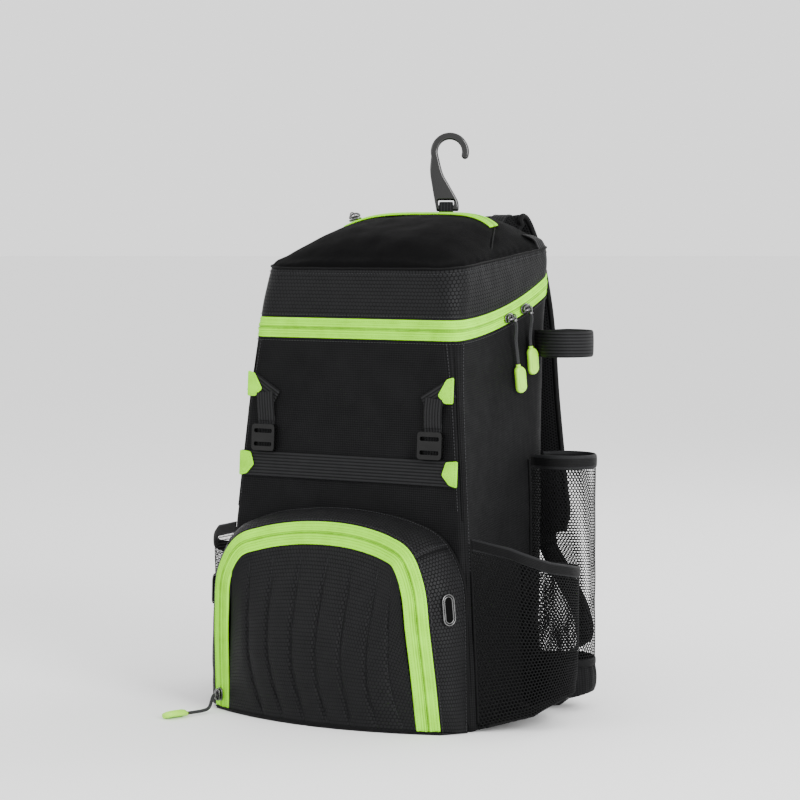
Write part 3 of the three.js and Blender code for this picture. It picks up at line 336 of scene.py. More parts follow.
def slab(name, top, look, thickness=None, bottom=None, turned=False, covers=(), centred=False, swapped=False):
    """A closed sheet between two grids of points (rows, columns, 3), its edge rounded by one more row.

    Its cloth is laid out from the first row and column, or centred on the middle row, or swapped
    to run across.
    """
    rows, cols = top.shape[:2]
    flip = -1 if turned else 1
    if bottom is None:
        bottom = top - flip * thickness * grid_normals(top)
    u, v = lengths(top, 1), lengths(top, 0)
    uv = np.stack(np.meshgrid(u, v - v[-1] / 2 if centred else v), -1)
    uv = (uv[..., ::-1] if swapped else uv).reshape(-1, 2)
    verts = np.concatenate([top.reshape(-1, 3), bottom.reshape(-1, 3)])
    n = rows * cols
    index = np.arange(n).reshape(rows, cols)
    index = np.concatenate([index[0], index[1:, -1], index[-1, -2::-1], index[-2:0:-1, 0]])
    a, b = verts[index], verts[index + n]
    middle = (a + b) / 2
    ahead = np.roll(middle, -1, axis=0) - np.roll(middle, 1, axis=0)
    out = unit(np.cross(ahead, a - b)) * flip
    middle = middle + out * np.linalg.norm(a - b, axis=1, keepdims=True) * 0.35
    m = 2 * n + np.arange(len(index))
    after, m_after = np.roll(index, -1), np.roll(m, -1)
    side = np.concatenate([np.stack([index, m, m_after, after], -1),
                           np.stack([m, index + n, after + n, m_after], -1)])
    faces = [grid_faces(rows, cols, turned=turned), grid_faces(rows, cols, start=n, turned=not turned),
             side[:, ::-1] if turned else side]
    return finish_mesh(name, np.concatenate([verts, middle]), np.concatenate(faces), look,
                       np.concatenate([uv, uv, uv[index]]), covers=covers)


def tube(name, points, radius, look, sides=8, closed=False, covers=(), squash=1.0, lobes=0.0):
    """A round cord along points; lobes pinches it into two strands side by side, with a slow twist."""
    points = np.asarray(points, float)
    if closed:
        ahead = unit(np.roll(points, -1, axis=0) - np.roll(points, 1, axis=0))
    else:
        ahead = unit(np.gradient(points, axis=0))
    up = np.array([0, 0, 1.0]) if abs(ahead[0][2]) < 0.8 else ACROSS
    normal = unit(np.cross(ahead[0], up))
    verts, uvs = [], []
    for point, forward, walked in zip(points, ahead, walk(points)):
        normal = unit(normal - forward * np.dot(normal, forward))
        side = np.cross(forward, normal)
        for s in range(sides):
            angle = 2 * math.pi * s / sides
            r = radius * (1 - lobes * (1 - abs(math.cos(angle))) ** 1.5)
            turn = angle + (0.02 * walked if lobes else 0)
            verts.append(point + r * (math.cos(turn) * side + squash * math.sin(turn) * normal))
            uvs.append((walked, s / sides * 2 * math.pi * radius))
    return finish_mesh(name, verts, tube_faces(len(points), sides, closed), look, uvs, covers=covers)


def stitches(name, runs, look, pitch=3.2, length=2.3, width=0.62, height=0.42):
    """Rows of sewn stitches: each run is (points, normals) on the cloth."""
    shape = [(-0.5, 0, -0.2), (-0.3, 0.5, 0), (0.3, 0.5, 0), (0.5, 0, -0.2), (0.3, -0.5, 0), (-0.3, -0.5, 0),
             (-0.28, 0, 1), (0.28, 0, 1)]
    sides = [(0, 5, 6), (5, 4, 7, 6), (4, 3, 7), (3, 2, 7), (2, 1, 6, 7), (1, 0, 6)]
    verts, faces = [], []
    for points, normals in runs:
        both = even(np.concatenate([points, normals], 1), pitch)
        place, out = both[:, :3], unit(both[:, 3:])
        ahead = unit(np.gradient(place, axis=0))
        across = unit(np.cross(out, ahead))
        for i in range(len(place)):
            faces.extend([tuple(len(verts) + k for k in f) for f in sides])
            for x, y, z in shape:
                verts.append(place[i] + ahead[i] * x * length + across[i] * y * width + out[i] * z * height)
    return finish_mesh(name, verts, faces, look)


def at_share(value, share):
    return value(share) if callable(value) else value


def ribbon(name, path, width, thickness, steps, look="webbing", across=None, face=None, roundness=4.0,
           crown=0.0, covers=()):
    """A strap along a route, with rounded edges, crowned if it is stuffed.

    Its width, its thickness and the way across it may be functions of the share of its length.
    """
    curve = Spline(path)
    share = np.linspace(0, 1, steps + 1)
    middle, tangent = curve.at(share), curve.along(share)
    walked = walk(middle)
    verts, uvs = [], []
    for i, s in enumerate(share):
        thick = unit(np.cross(tangent[i], at_share(across, s))) if face is None else face
        wide = unit(np.cross(thick, tangent[i]))
        half, deep = at_share(width, s) / 2, at_share(thickness, s) / 2
        for k in range(RIBBON_SIDES):
            angle = 2 * math.pi * k / RIBBON_SIDES
            w = math.cos(angle)
            edge = max(0.0, 1 - abs(w) ** (2 * roundness + 1)) ** 0.5
            h = math.copysign(edge, math.sin(angle)) * (1 - crown * w * w)
            verts.append(middle[i] + wide * w * half + thick * h * deep)
            uvs.append((walked[i], w * half))
    return finish_mesh(name, verts, tube_faces(steps + 1, RIBBON_SIDES), look, uvs, covers=covers)


def offset_outline(points, inset):
    """A closed outline in the plane moved inwards (it runs against the clock)."""
    p = np.asarray(points, float)
    ahead = unit(np.roll(p, -1, axis=0) - p)
    before = np.roll(ahead, 1, axis=0)
    normal = unit(np.stack([-(ahead + before)[:, 1], (ahead + before)[:, 0]], -1))
    lean_in = np.maximum(np.sum(normal * np.stack([-ahead[:, 1], ahead[:, 0]], -1), axis=1), 0.5)
    return p + normal * (inset / lean_in)[:, None]


def moulded(name, outline, thickness, bevel, look, place, holes=(), steps=4, covers=(), swell=0.0):
    """A plate with rounded edges, from outlines in its own plane; place gives (origin, x, y, z) axes."""
    origin, ax, ay, az = (np.asarray(v, float) for v in place)
    angles = [math.pi / 2 * i / steps for i in range(steps + 1)]
    levels = [(bevel * (1 - math.sin(a)), bevel * (1 - math.cos(a))) for a in angles]
    levels += [(inset, thickness - z) for inset, z in levels[::-1]]
    last = len(levels) - 1
    verts, faces, starts = [], [], []
    for loop in [np.asarray(outline, float)] + [np.asarray(h, float)[::-1] for h in holes]:
        starts.append((len(verts), len(loop)))
        faces += grid_faces(len(levels), len(loop), True, len(verts)).tolist()
        for inset, z in levels:
            verts += [(x, y, z) for x, y in offset_outline(loop, inset)]
    for top in (False, True):
        rings = [[start + top * last * n + k for k in range(n)] for start, n in starts]
        index = [k for ring in rings for k in ring]
        polygons = [[Vector((verts[k][0], verts[k][1], 0)) for k in ring] for ring in rings]
        for tri in tessellate_polygon(polygons):
            a, b, c = (index[k] for k in tri)
            area = ((verts[b][0] - verts[a][0]) * (verts[c][1] - verts[a][1])
                    - (verts[b][1] - verts[a][1]) * (verts[c][0] - verts[a][0]))
            faces.append((a, b, c) if (area > 0) == top else (a, c, b))
    local = np.array(verts)
    if swell:
        reach = np.max(np.abs(local[:, :2]), axis=0)
        r = np.prod(np.clip(1 - (local[:, :2] / reach) ** 2, 0, 1), axis=1)
        local[:, 2] += swell * r * np.sign(local[:, 2] - thickness / 2)
    placed = origin + local[:, :1] * ax + local[:, 1:2] * ay + local[:, 2:] * az
    return finish_mesh(name, placed, faces, look, local[:, :2], covers=covers)


def rounded(width, height, radius, steps=8):
    points = []
    for x, y, turn in ((1, -1, -90), (1, 1, 0), (-1, 1, 90), (-1, -1, 180)):
        for i in range(steps + 1):
            a = math.radians(turn + 90 * i / steps)
            points.append((x * (width / 2 - radius) + radius * math.cos(a),
                           y * (height / 2 - radius) + radius * math.sin(a)))
    return [p for i, p in enumerate(points) if math.dist(p, points[(i + 1) % len(points)]) > 0.01]


def wobble(points, scale, seed):
    """Smooth noise from -1 to 1 at each point."""
    flat_points = points.reshape(-1, 3) / scale
    values = [noise.noise(Vector((p[0] + seed, p[1] - seed, p[2] + 2 * seed))) for p in flat_points]
    return np.array(values).reshape(points.shape[:-1])


# Materials

LOOKS, SLOTS = {}, {}
ROOT3 = math.sqrt(3)


def operation(kind, swapped=False):
    """A method of Value that adds a Math node."""
    def apply(self, other=0.0):
        first, second = (other, self) if swapped else (self, other)
        return self.look.math(kind, first, second)
    return apply


class Value:
    """An output in a material's node tree: arithmetic on it adds nodes."""

    def __init__(self, look, socket):
        self.look = look
        self.socket = socket

    __add__ = operation("ADD")
    __sub__ = operation("SUBTRACT")
    __rsub__ = operation("SUBTRACT", True)
    __mul__ = operation("MULTIPLY")
    __mod__ = operation("FLOORED_MODULO")
    __abs__ = operation("ABSOLUTE")
    sine = operation("SINE")
    least = operation("MINIMUM")
    most = operation("MAXIMUM")


class Look:
    """One material, with short calls for its nodes."""

    def __init__(self, name, slot, base, rough, specular, sheen=0.0, **sockets):
        mat = bpy.data.materials.new(name)
        mat.use_nodes = True
        mat.diffuse_color = (*base, 1)
        self.tree = mat.node_tree
        self.shader = self.tree.nodes["Principled BSDF"]
        sockets.update(Base_Color=(*base, 1), Roughness=rough, Specular_IOR_Level=specular,
                       Sheen_Weight=sheen)
        for key, value in sockets.items():
            self.shader.inputs[key.replace("_", " ")].default_value = value
        LOOKS[name] = mat
        SLOTS[name] = slot

    def node(self, kind, **values):
        made = self.tree.nodes.new(kind)
        for key, value in values.items():
            setattr(made, key, value)
        return made

    def link(self, value, socket):
        if isinstance(value, Value):
            self.tree.links.new(value.socket, socket)
        else:
            socket.default_value = value

    def math(self, kind, *values):
        made = self.node("ShaderNodeMath", operation=kind)
        for value, socket in zip(values, made.inputs):
            self.link(value, socket)
        return Value(self, made.outputs[0])

    def uv(self):
        """Metres along and across the cloth."""
        made = self.node("ShaderNodeUVMap", uv_map="UVMap")
        split = self.node("ShaderNodeSeparateXYZ")
        self.tree.links.new(made.outputs[0], split.inputs[0])
        return Value(self, split.outputs[0]), Value(self, split.outputs[1])

    def noise(self, scale, detail=3.0, rough=0.5):
        made = self.node("ShaderNodeTexNoise")
        for key, value in (("Scale", scale), ("Detail", detail), ("Roughness", rough)):
            made.inputs[key].default_value = value
        place = self.node("ShaderNodeTexCoord").outputs["Object"]
        self.tree.links.new(place, made.inputs["Vector"])
        return Value(self, made.outputs["Fac"])

    def ramp(self, value, low, high, to_low=0.0, to_high=1.0):
        made = self.node("ShaderNodeMapRange", interpolation_type="SMOOTHSTEP")
        for key, number in zip(("From Min", "From Max", "To Min", "To Max"), (low, high, to_low, to_high)):
            made.inputs[key].default_value = number
        self.link(value, made.inputs["Value"])
        return Value(self, made.outputs[0])

    def wave(self, value, pitch):
        """A sine along value, in metres, with pitch in millimetres."""
        return (value * (2000 * math.pi / pitch)).sine()

    def hexagon(self, pitch, tall=1.0):
        """0 at the middle of each honeycomb cell, 0.5 on its edge."""
        u, v = self.uv()
        x = u * (1000 / pitch)
        y = v * (1000 / (pitch * tall))
        near = []
        for shift in (0.0, 0.5):
            a = abs((x - shift) % 1.0 - 0.5)
            b = abs((y - ROOT3 * shift) % ROOT3 - ROOT3 / 2)
            near.append(a.most(a * 0.5 + b * (ROOT3 / 2)))
        return near[0].least(near[1])

    def weave(self, pitch):
        u, v = self.uv()
        return self.wave(u + v, 2 * pitch) * self.wave(u - v, 2 * pitch)

    def twill(self, pitch):
        u, v = self.uv()
        return self.wave(u + v * 2.0, pitch)

    def ribs(self, pitch):
        """Ribs along the cloth, pitch apart."""
        return abs(self.wave(self.uv()[1], 2 * pitch))

    def paint(self, low, high, amount):
        made = self.node("ShaderNodeMix", data_type="RGBA")
        made.inputs[6].default_value = (*low, 1)
        made.inputs[7].default_value = (*high, 1)
        self.link(amount, made.inputs[0])
        self.tree.links.new(made.outputs[2], self.shader.inputs["Base Color"])

    def gloss(self, low, high, amount):
        self.link(self.ramp(amount, 0, 1, low, high), self.shader.inputs["Roughness"])

    def bump(self, height, distance, strength=1.0):
        """One more layer of relief on those that the material has."""
        made = self.node("ShaderNodeBump")
        made.inputs["Distance"].default_value = distance
        made.inputs["Strength"].default_value = strength
        self.link(height, made.inputs["Height"])
        normal = self.shader.inputs["Normal"]
        if normal.is_linked:
            self.tree.links.new(normal.links[0].from_socket, made.inputs["Normal"])
        self.tree.links.new(made.outputs[0], normal)


def tone(value, tint=(1.0, 1.0, 1.0)):
    """Linear colour from a grey of 0 to 255 as it is seen."""
    s = value / 255
    linear = s / 12.92 if s <= 0.04045 else ((s + 0.055) / 1.055) ** 2.4
    return tuple(linear * t for t in tint)


def cool(value):
    """The black of the cloth is a little blue."""
    return tone(value, (0.98, 0.99, 1.05))


def shade(colour, amount):
    return tuple(c * amount for c in colour)


BRIGHT, PALE = (0.29, 0.80, 0.002), (0.34, 0.74, 0.03)


def body_cloths():
    t = Look("cloth", "body cloth", cool(14), 0.75, 0.06, 0.005)
    weave = t.weave(2.3)
    t.paint(cool(6), cool(22), t.ramp(weave * 0.6 + t.noise(35) * 0.7, -0.4, 1.1))
    t.gloss(0.6, 0.82, t.noise(60, 4))
    t.bump(t.noise(26, 4, 0.55), 0.0022, 0.5)
    t.bump(weave, 0.00016, 0.7)

    t = Look("lid_cloth", "body cloth", cool(6), 0.75, 0.035)
    weave = t.weave(1.1)
    t.paint(cool(3), cool(10), t.ramp(weave + t.noise(45), -0.6, 1.4))
    t.gloss(0.68, 0.85, t.noise(50, 4))
    t.bump(t.noise(22, 4, 0.55), 0.0024, 0.5)
    t.bump(weave, 0.0001, 0.8)


def honeycomb_ripstop(name, pitch, tall):
    t = Look(name, "ripstop", cool(15), 0.55, 0.08, 0.005)
    line = t.ramp(t.hexagon(pitch, tall), 0.36, 0.47)
    t.paint(cool(2), cool(26), t.ramp(line * -0.9 + t.noise(90, 2) * 0.5, -0.9, 0.45))
    t.gloss(0.45, 0.75, line)
    t.bump(t.noise(26, 4, 0.55), 0.002, 0.5)
    t.bump(1.0 - line, 0.0006, 0.9)
    t.bump(t.weave(0.7), 0.00006, 0.5)


def bands_and_nets():
    t = Look("elastic", "webbing", cool(17), 0.66, 0.09, 0.01)
    rib = t.ribs(1.5)
    edge = t.ramp(abs(t.uv()[1] * 1000.0), 3.4, 4.6)
    t.paint(cool(8), cool(30), t.ramp(rib * 0.4 + edge, 0.0, 1.3))
    t.gloss(0.55, 0.75, t.noise(80, 3))
    t.bump(rib, 0.00025, 0.7)
    t.bump(1.0 - edge, 0.0005, 0.6)

    t = Look("net", "net", cool(10), 0.7, 0.08, 0.005)
    t.paint(cool(5), cool(18), t.noise(400, 2))
    t.bump(t.noise(900, 2), 0.0001, 0.5)

    t = Look("webbing", "webbing", cool(15), 0.62, 0.09, 0.01)
    rib = t.ribs(3.1)
    knit = abs((t.uv()[0] * (1000 * math.pi / 1.3) + rib * 1.4).sine())
    t.paint(cool(3), cool(31), t.ramp(rib + knit * 0.35, 0.15, 1.3))
    t.gloss(0.5, 0.75, t.noise(80, 3))
    t.bump(rib, 0.0006, 0.8)
    t.bump(knit, 0.00018, 0.6)


def bright_zipper_tape():
    """Bright tape with painted shade: darker lines, at, half as wide as they fade, and deep, in the slit
    between the coils and along the tape's ribs, and darker stripes between the coil's turns.
    """
    t = Look("bright_tape", "bright tape", BRIGHT, 0.65, 0.12, 0.02)
    u, v = t.uv()
    out = abs(v) * 1000.0
    # Painted shade: the slit between the two coils is painted dark, and the lines below stand for the shade
    # along the tape's ribs
    dark = t.ramp(abs(out - 0.0), 0.0, 0.9, 1.0, 0.0)
    for at, fade, depth in ((2.3, 1.0, 0.75), (5.0, 0.7, 0.4), (7.6, 0.7, 0.4)):
        dark = dark + t.ramp(abs(out - at), 0.0, fade, depth, 0.0)
    # Painted shade between the coil's turns, as darker stripes across the coil
    teeth = t.ramp(t.wave(u, 1.5), -0.3, 0.6) * t.ramp(out, 1.8, 2.2, 0.3, 0.0)
    twill = t.twill(1.1)
    mixed = (twill * 0.14 + t.noise(60, 3)) - (dark + teeth)
    t.paint(shade(BRIGHT, 0.3), shade(BRIGHT, 1.12), t.ramp(mixed, -0.75, 0.75))
    t.gloss(0.55, 0.75, t.noise(90, 3))
    t.bump(1.0 - dark, 0.0006, 0.8)
    t.bump(teeth, 0.0004, 0.6)
    t.bump(twill, 0.0001, 0.7)


def bright_cloth_and_pulls():
    t = Look("bright_cloth", "bright tape", BRIGHT, 0.6, 0.12, 0.02)
    twill = t.twill(1.1)
    mixed = (twill + t.wave(t.uv()[0], 1.3)) * 0.15 + t.noise(90, 4)
    t.paint(shade(BRIGHT, 0.75), shade(BRIGHT, 1.12), t.ramp(mixed, 0.1, 0.9))
    t.gloss(0.5, 0.7, t.noise(90, 3))
    t.bump(t.noise(110, 3), 0.0008, 0.4)
    t.bump(twill, 0.0001, 0.7)

    t = Look("bright_thread", "bright tape", shade(BRIGHT, 0.7), 0.7, 0.12)
    t.paint(shade(BRIGHT, 0.55), shade(BRIGHT, 0.9), t.noise(500, 2))

    t = Look("bright_pull", "bright pull", PALE, 0.4, 0.35, Subsurface_Weight=0.1, Subsurface_Scale=0.003)
    t.paint(shade(PALE, 0.85), shade(PALE, 1.1), t.noise(70, 3))
    t.gloss(0.32, 0.5, t.noise(160, 4))
    t.bump(t.noise(700, 2), 0.00005, 0.4)


def hard_parts():
    t = Look("plastic", "black plastic", tone(11), 0.25, 0.24)
    t.gloss(0.14, 0.3, t.noise(120, 5, 0.6))
    t.bump(t.noise(1200, 2), 0.00003, 0.4)
    t.paint(tone(4), tone(10), t.noise(40, 3))

    t = Look("hook_plastic", "hook plastic", tone(10), 0.16, 0.4, Coat_Weight=0.25, Coat_Roughness=0.1)
    t.gloss(0.12, 0.3, t.noise(90, 6, 0.65))
    t.bump(t.noise(260, 4, 0.6), 0.00006, 0.35)
    t.paint(tone(6), tone(14), t.noise(40, 3))

    t = Look("metal", "dark metal", tone(95), 0.25, 0.5, Metallic=1.0)
    t.gloss(0.16, 0.36, t.noise(300, 4, 0.6))
    t.paint(tone(75), tone(120), t.noise(120, 3))
    t.bump(t.noise(900, 3), 0.00003, 0.4)


def cord_and_mesh():
    t = Look("cord", "cord", cool(24), 0.7, 0.14, 0.02)
    u, v = t.uv()
    braid = t.wave(u + v, 1.7).most(t.wave(u - v, 1.7))
    t.paint(cool(12), cool(56), t.ramp(braid, -0.4, 1))
    t.gloss(0.6, 0.8, t.noise(200, 2))
    t.bump(braid, 0.00025, 0.8)

    t = Look("air_mesh", "padding", cool(14), 0.8, 0.06, 0.01)
    hole = t.ramp(t.hexagon(3.0), 0.2, 0.36)
    t.paint(cool(2), cool(21), hole)
    t.gloss(0.7, 0.9, t.noise(70, 3))
    t.bump(t.noise(26, 3), 0.002, 0.3)
    t.bump(hole, 0.0007, 0.9)


def thread_and_piping():
    t = Look("thread", "body cloth", cool(46), 0.7, 0.14)
    t.paint(cool(36), cool(58), t.noise(500, 2))

    t = Look("piping", "body cloth", cool(10), 0.6, 0.07, 0.005)
    t.paint(cool(6), cool(16), t.ramp(t.weave(0.9) + t.noise(60), -0.5, 1.4))
    t.bump(t.weave(0.9), 0.00012, 0.7)
    t.bump(t.noise(70, 3), 0.0008, 0.4)

    # Painted shade: the near-black plate inside the eyelets, standing for the shade in their holes
    t = Look("dark", "body cloth", tone(4), 0.9, 0.05)
    t.paint(tone(2), tone(7), t.noise(60, 3))


def make_looks():
    body_cloths()
    honeycomb_ripstop("ripstop", 3.8, 0.9)
    honeycomb_ripstop("ripstop_tall", 3.0, 1.35)
    bands_and_nets()
    bright_zipper_tape()
    bright_cloth_and_pulls()
    hard_parts()
    cord_and_mesh()
    thread_and_piping()


# Camera

def make_camera():
    data = bpy.data.cameras.new("camera")
    data.lens = 117.0
    data.sensor_width = 36.0
    data.shift_x = 0.005
    data.clip_end = 50.0
    camera = bpy.data.objects.new("camera", data)
    bpy.context.scene.collection.objects.link(camera)
    camera.location = Vector(world(CAMERA_PLACE))
    aim = Vector(world(CAMERA_AIM))
    camera.rotation_euler = (aim - camera.location).to_track_quat("-Z", "Y").to_euler()
    bpy.context.scene.camera = camera


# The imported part's flat-sided outline, where pieces are sewn on

def flat_section(z):
    """Half widths in front and behind, front, back, radii of the front and back corners, and dent."""
    half = BASE_WIDTH / 2
    share = np.asarray(z, float) / SEAM_HEIGHT
    scales = (half, half, -BASE_DEPTH, BASE_DEPTH, half, half, half)
    return [np.interp(share, SKIN[:, 0], SKIN[:, c + 1]) * scale for c, scale in enumerate(scales)]


def half_front(z):
    return float(flat_section(z)[0])


def flat_front(z):
    return flat_section(z)[2]


def flat_back(z):
    return flat_section(z)[3]


def front_edge(z):
    """Y of the line where the front corner ends and the side begins."""
    section = flat_section(z)
    return section[2] + section[4]


def side_at(y, z):
    """X of the side panel at many places."""
    fh, bh, front, back, fr, br, dent = flat_section(z)
    share = (y - front - fr) / (back - br - front - fr)
    flat_part = fh + (bh - fh) * np.clip(share, 0, 1) - dent * np.sin(math.pi * np.clip(share, 0, 1))
    past = np.clip((y - (back - br)) / br, 0, 1)
    return np.where(share <= 1, flat_part, bh - br + br * np.sqrt(1 - past ** 2))


def faceted_side_at(y, z):
    """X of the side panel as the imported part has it, in six flat facets."""
    fh, bh, front, back, fr, br, dent = flat_section(z)
    share = np.linspace(0, 1, 7)
    x = fh + (bh - fh) * share - dent * np.sin(math.pi * share)
    return float(np.interp(y, front + fr + (back - br - front - fr) * share, x))


# Curves of the front pocket

def arch_rows(sign):
    across, out, up = ARCH[:, 1] * POCKET_HALF, ARCH[:, 2] * POCKET_DEPTH, ARCH[:, 3] * POCKET_HEIGHT
    return np.stack([sign * across, flat_front(0.0) - out, up], -1)


def root_rows(sign):
    z = ARCH[:, 5] * ROOT_HEIGHT
    return np.stack([sign * ARCH[:, 4] * BASE_WIDTH / 2, flat_front(z) - GAP - 0.9, z], -1)


arch_curve = Spline(np.concatenate([arch_rows(1.0), arch_rows(-1.0)[:-1][::-1]]))
root_curve = Spline(np.concatenate([root_rows(1.0), root_rows(-1.0)[:-1][::-1]]))


def tape_direction(share):
    tangent = arch_curve.along(share)
    away = unit(np.stack([tangent[..., 2], 0 * tangent[..., 0], -tangent[..., 0]], -1))
    return away * math.cos(POCKET_TILT) + np.array([0, math.sin(POCKET_TILT), 0])


def tape_point(share, offset):
    point = arch_curve.at(share) + tape_direction(share) * np.asarray(offset, float)[..., None]
    point[..., 2] = np.maximum(point[..., 2], FLOOR + GAP)
    return point


def tape_normal(share):
    return -unit(np.cross(arch_curve.along(share), tape_direction(share)))


# Cords, sliders and moulded ends

def slider_place(middle, along, out):
    out = unit(out)
    along = unit(along - out * np.dot(along, out))
    return (middle + out * (2 * GAP + 1.0), along, np.cross(out, along), out)


def make_slider(name, place):
    """A zipper slider: two plates on a neck, and a bridge over the upper one."""
    origin, along, across, out = place
    shape = [(-0.5, -0.2), (-0.44, -0.36), (-0.3, -0.46), (0.1, -0.5), (0.36, -0.44), (0.47, -0.25), (0.5, 0)]
    outline = [(x * SLIDER_LENGTH, y * SLIDER_WIDTH) for x, y in shape]
    outline += [(x, -y) for x, y in outline[::-1][1:]]

    def plate(tag, shape_of_it, thickness, bevel, lift, **more):
        return moulded(f"{name}_{tag}", shape_of_it, thickness, bevel, "metal",
                       (origin + out * lift, along, across, out), **more)
    low = plate("body", outline, 1.7, 0.7, -0.4, covers=(name,))
    top = plate("top", [(0.93 * x, 0.86 * y) for x, y in outline], 1.5, 0.7, 2.4, swell=0.4)
    neck = plate("neck", [(0.35 * x + 2, 0.3 * y) for x, y in outline], 3.0, 0.2, 0.6)
    arch = [origin + along * (5.2 * math.cos(a)) + out * (3.3 + 3.1 * math.sin(a))
            for a in np.linspace(0, math.pi, 17)]
    bridge = tube(name + "_bridge", arch, 1.0, "metal", sides=10, squash=1.5)
    for piece in (top, neck, bridge):
        piece.parent = low


def pull_ring(name, centre, axis, reach, radius=PULL_RING):
    """A wire ring round an axis, stretched along reach."""
    axis = unit(axis)
    reach = unit(reach - axis * np.dot(reach, axis))
    side = np.cross(axis, reach)
    ring = [centre + reach * (1.25 * radius * math.cos(a)) + side * (radius * math.sin(a))
            for a in np.linspace(0, 2 * math.pi, 28, endpoint=False)]
    return tube(name, ring, PULL_WIRE, "metal", closed=True)


def pull_end(name, top, down, face):
    """The moulded end: a bean with soft edges, a raised line round its face and a collar for the cord."""
    down, face = unit(down), unit(face)
    up = -down
    outline = [(x + 0.14 * END_WIDTH * math.cos(math.pi * y / END_LENGTH), y - END_LENGTH / 2)
               for x, y in rounded(1.12 * END_WIDTH, END_LENGTH, END_WIDTH * 0.54, 10)]
    face = unit(face + PULL_TURN * np.cross(up, face))
    origin = top - face * (END / 2 - 0.8) + down * GAP
    body = moulded(name + "_bean", outline, END, 2.3, "bright_pull", (origin, np.cross(up, face), up, face),
                   covers=(name,), steps=6, swell=0.25)
    inner = [(x * 0.62 + 0.6, (y + END_LENGTH / 2) * 0.72 - END_LENGTH / 2) for x, y in outline]
    ridge = [origin + np.cross(up, face) * x + up * y + face * (END + 0.1) for x, y in inner]
    line = tube(name + "_ridge", ridge, 0.45, "bright_pull", closed=True)
    collar = tube(name + "_collar", [top - up * 1.6, top + up * 1.4], 2.3, "bright_pull", sides=16)
    line.parent = body
    collar.parent = body
    return body


def make_cord(cord_name, end_name, points, face):
    path = Spline(points).at(np.linspace(0, 1, 41))
    cord = tube(cord_name + "_braid", path, CORD / 2, "cord", sides=16, covers=(cord_name,), lobes=0.42)
    down = unit(path[-1] - path[-2])
    chart_down = unit(points[-1] - points[-2])
    end = pull_end(end_name, points[-1], chart_down, face - chart_down * np.dot(face, chart_down))
    leave = unit(path[1] - path[0])
    axis = np.cross(face - down * np.dot(face, down), down)
    ring = pull_ring(cord_name + "_ring", path[0] - leave * PULL_WIRE, axis, leave)
    crimp = tube(cord_name + "_crimp", path[2:6], CORD / 2 + 0.5, "metal", sides=14)


def make_pulls():
    for which, (y, points) in LID_PULLS.items():
        def middle_at(at):
            z = zip_low_at(back_share(at)) + ZIP_WIDTH / 2
            return np.array([faceted_side_at(at, z) + 0.5, at, z])
        middle = middle_at(y)
        along = middle_at(y + 5) - middle
        place = slider_place(middle, along, -unit(np.array([-along[1], along[0], 0])))
        make_slider(f"lid_slider_{which}", place)
        route = np.array([[faceted_side_at(at, z) + out, at, z] for at, z, out in points], float)
        make_cord(f"lid_pull_cord_{which}", f"lid_pull_end_{which}", route, np.array([1.0, 0, 0]))
    share = 0.98
    middle, out = tape_point(share, 0.0), tape_normal(share)
    make_slider("pocket_slider", slider_place(middle, -arch_curve.along(share), out))
    leave = [middle + out * (3 * GAP + 1.0 + SLIDER + far) for far in (0, 3)]
    route = np.array([*leave, *POCKET_PULL], float)
    make_cord("pocket_pull_cord", "pocket_pull_end", route, np.array([0, 0, 1.0]))


# Main bag

ring_t = TURN / 2 + np.arange(COLUMNS) * TURN / COLUMNS


def bell(distance, width):
    """1 where the distance is 0, and falling off over width."""
    return np.exp(-(distance / width) ** 2)


def make_body():
    fold = np.abs(ring_t - TURN)
    top = np.where(fold <= 16.5, zip_low(ring_t), zip_high(ring_t)) - GAP
    rows = [skin(ring_t, ROUNDING * (1 - math.cos(a)) + 0 * ring_t, -ROUNDING * (1 - math.sin(a)))
            for a in np.linspace(0, math.pi / 2, 6)[:-1]]
    rows += [skin(ring_t, ROUNDING + (top - ROUNDING) * share) for share in np.linspace(0, 1, WALL_ROWS + 1)]
    wall = np.array(rows)
    z = wall[..., 2]
    below = top[None, :] - z
    f = fold[None, :]
    swing = np.clip((z - 12) / 40, 0, 1) * np.clip(below / 30, 0, 1)
    puff = 0.9 * wobble(wall, 55, 3.0) + 0.45 * wobble(wall, 22, 9.0)
    pucker = 0.35 * np.sin(z / 5.5 + 2 * wobble(wall, 30, 5.0)) * (bell(f - 4.2, 0.6) + bell(f - 7.4, 0.5))
    out = (puff + pucker) * swing - 0.9 * bell(f - 5.5, 0.35) * swing + 0.5 * bell(below, 3.5)
    wall = wall + grid_normals(wall, True) * out[..., None]
    foot_x, foot_y = wall[0, :, 0], wall[0, :, 1]
    floor = [np.stack([foot_x * s, foot_y * s, 0 * ring_t], -1) for s in (0.02, 0.35, 0.7, 0.92)]
    full = np.array([*floor, *wall, skin(ring_t, top - 1.5, -3.0), skin(ring_t, top - 24, -3.0)])
    u = lengths(full[5:-3], 1)
    uv = np.stack(np.meshgrid([*u, u[-1] + u[1]], lengths(full, 0)), -1)
    verts = np.concatenate([full, full[:, :1]], axis=1)
    faces = grid_faces(len(full), COLUMNS + 1)
    finish_mesh("body_shell", verts.reshape(-1, 3), faces, "cloth", uv.reshape(-1, 2), covers=("main_body",))


def skin_run(t, z, out):
    """Points over the skin and the way out of it, for a row of stitches."""
    points = skin(t, z, out)
    return points, unit(skin(t, z, out + 1.0) - points)


def top_zip_y(x):
    return LID_FRONT + 0.765 * (LID_BACK - LID_FRONT) - TOP_ZIP_BOW * (x / TOP_ZIP_HALF) ** 2


def lid_seam_ends():
    """Plan places, on the right, of the seam from the top zipper's end to the lid's side seam."""
    y = LID_FRONT + 0.36 * (LID_BACK - LID_FRONT)
    return (np.array([TOP_ZIP_HALF + 1.0, float(top_zip_y(TOP_ZIP_HALF))]),
            np.array([float(np.interp(y, seam_y[on_side], seam_x[on_side])) - 1.0, y]))


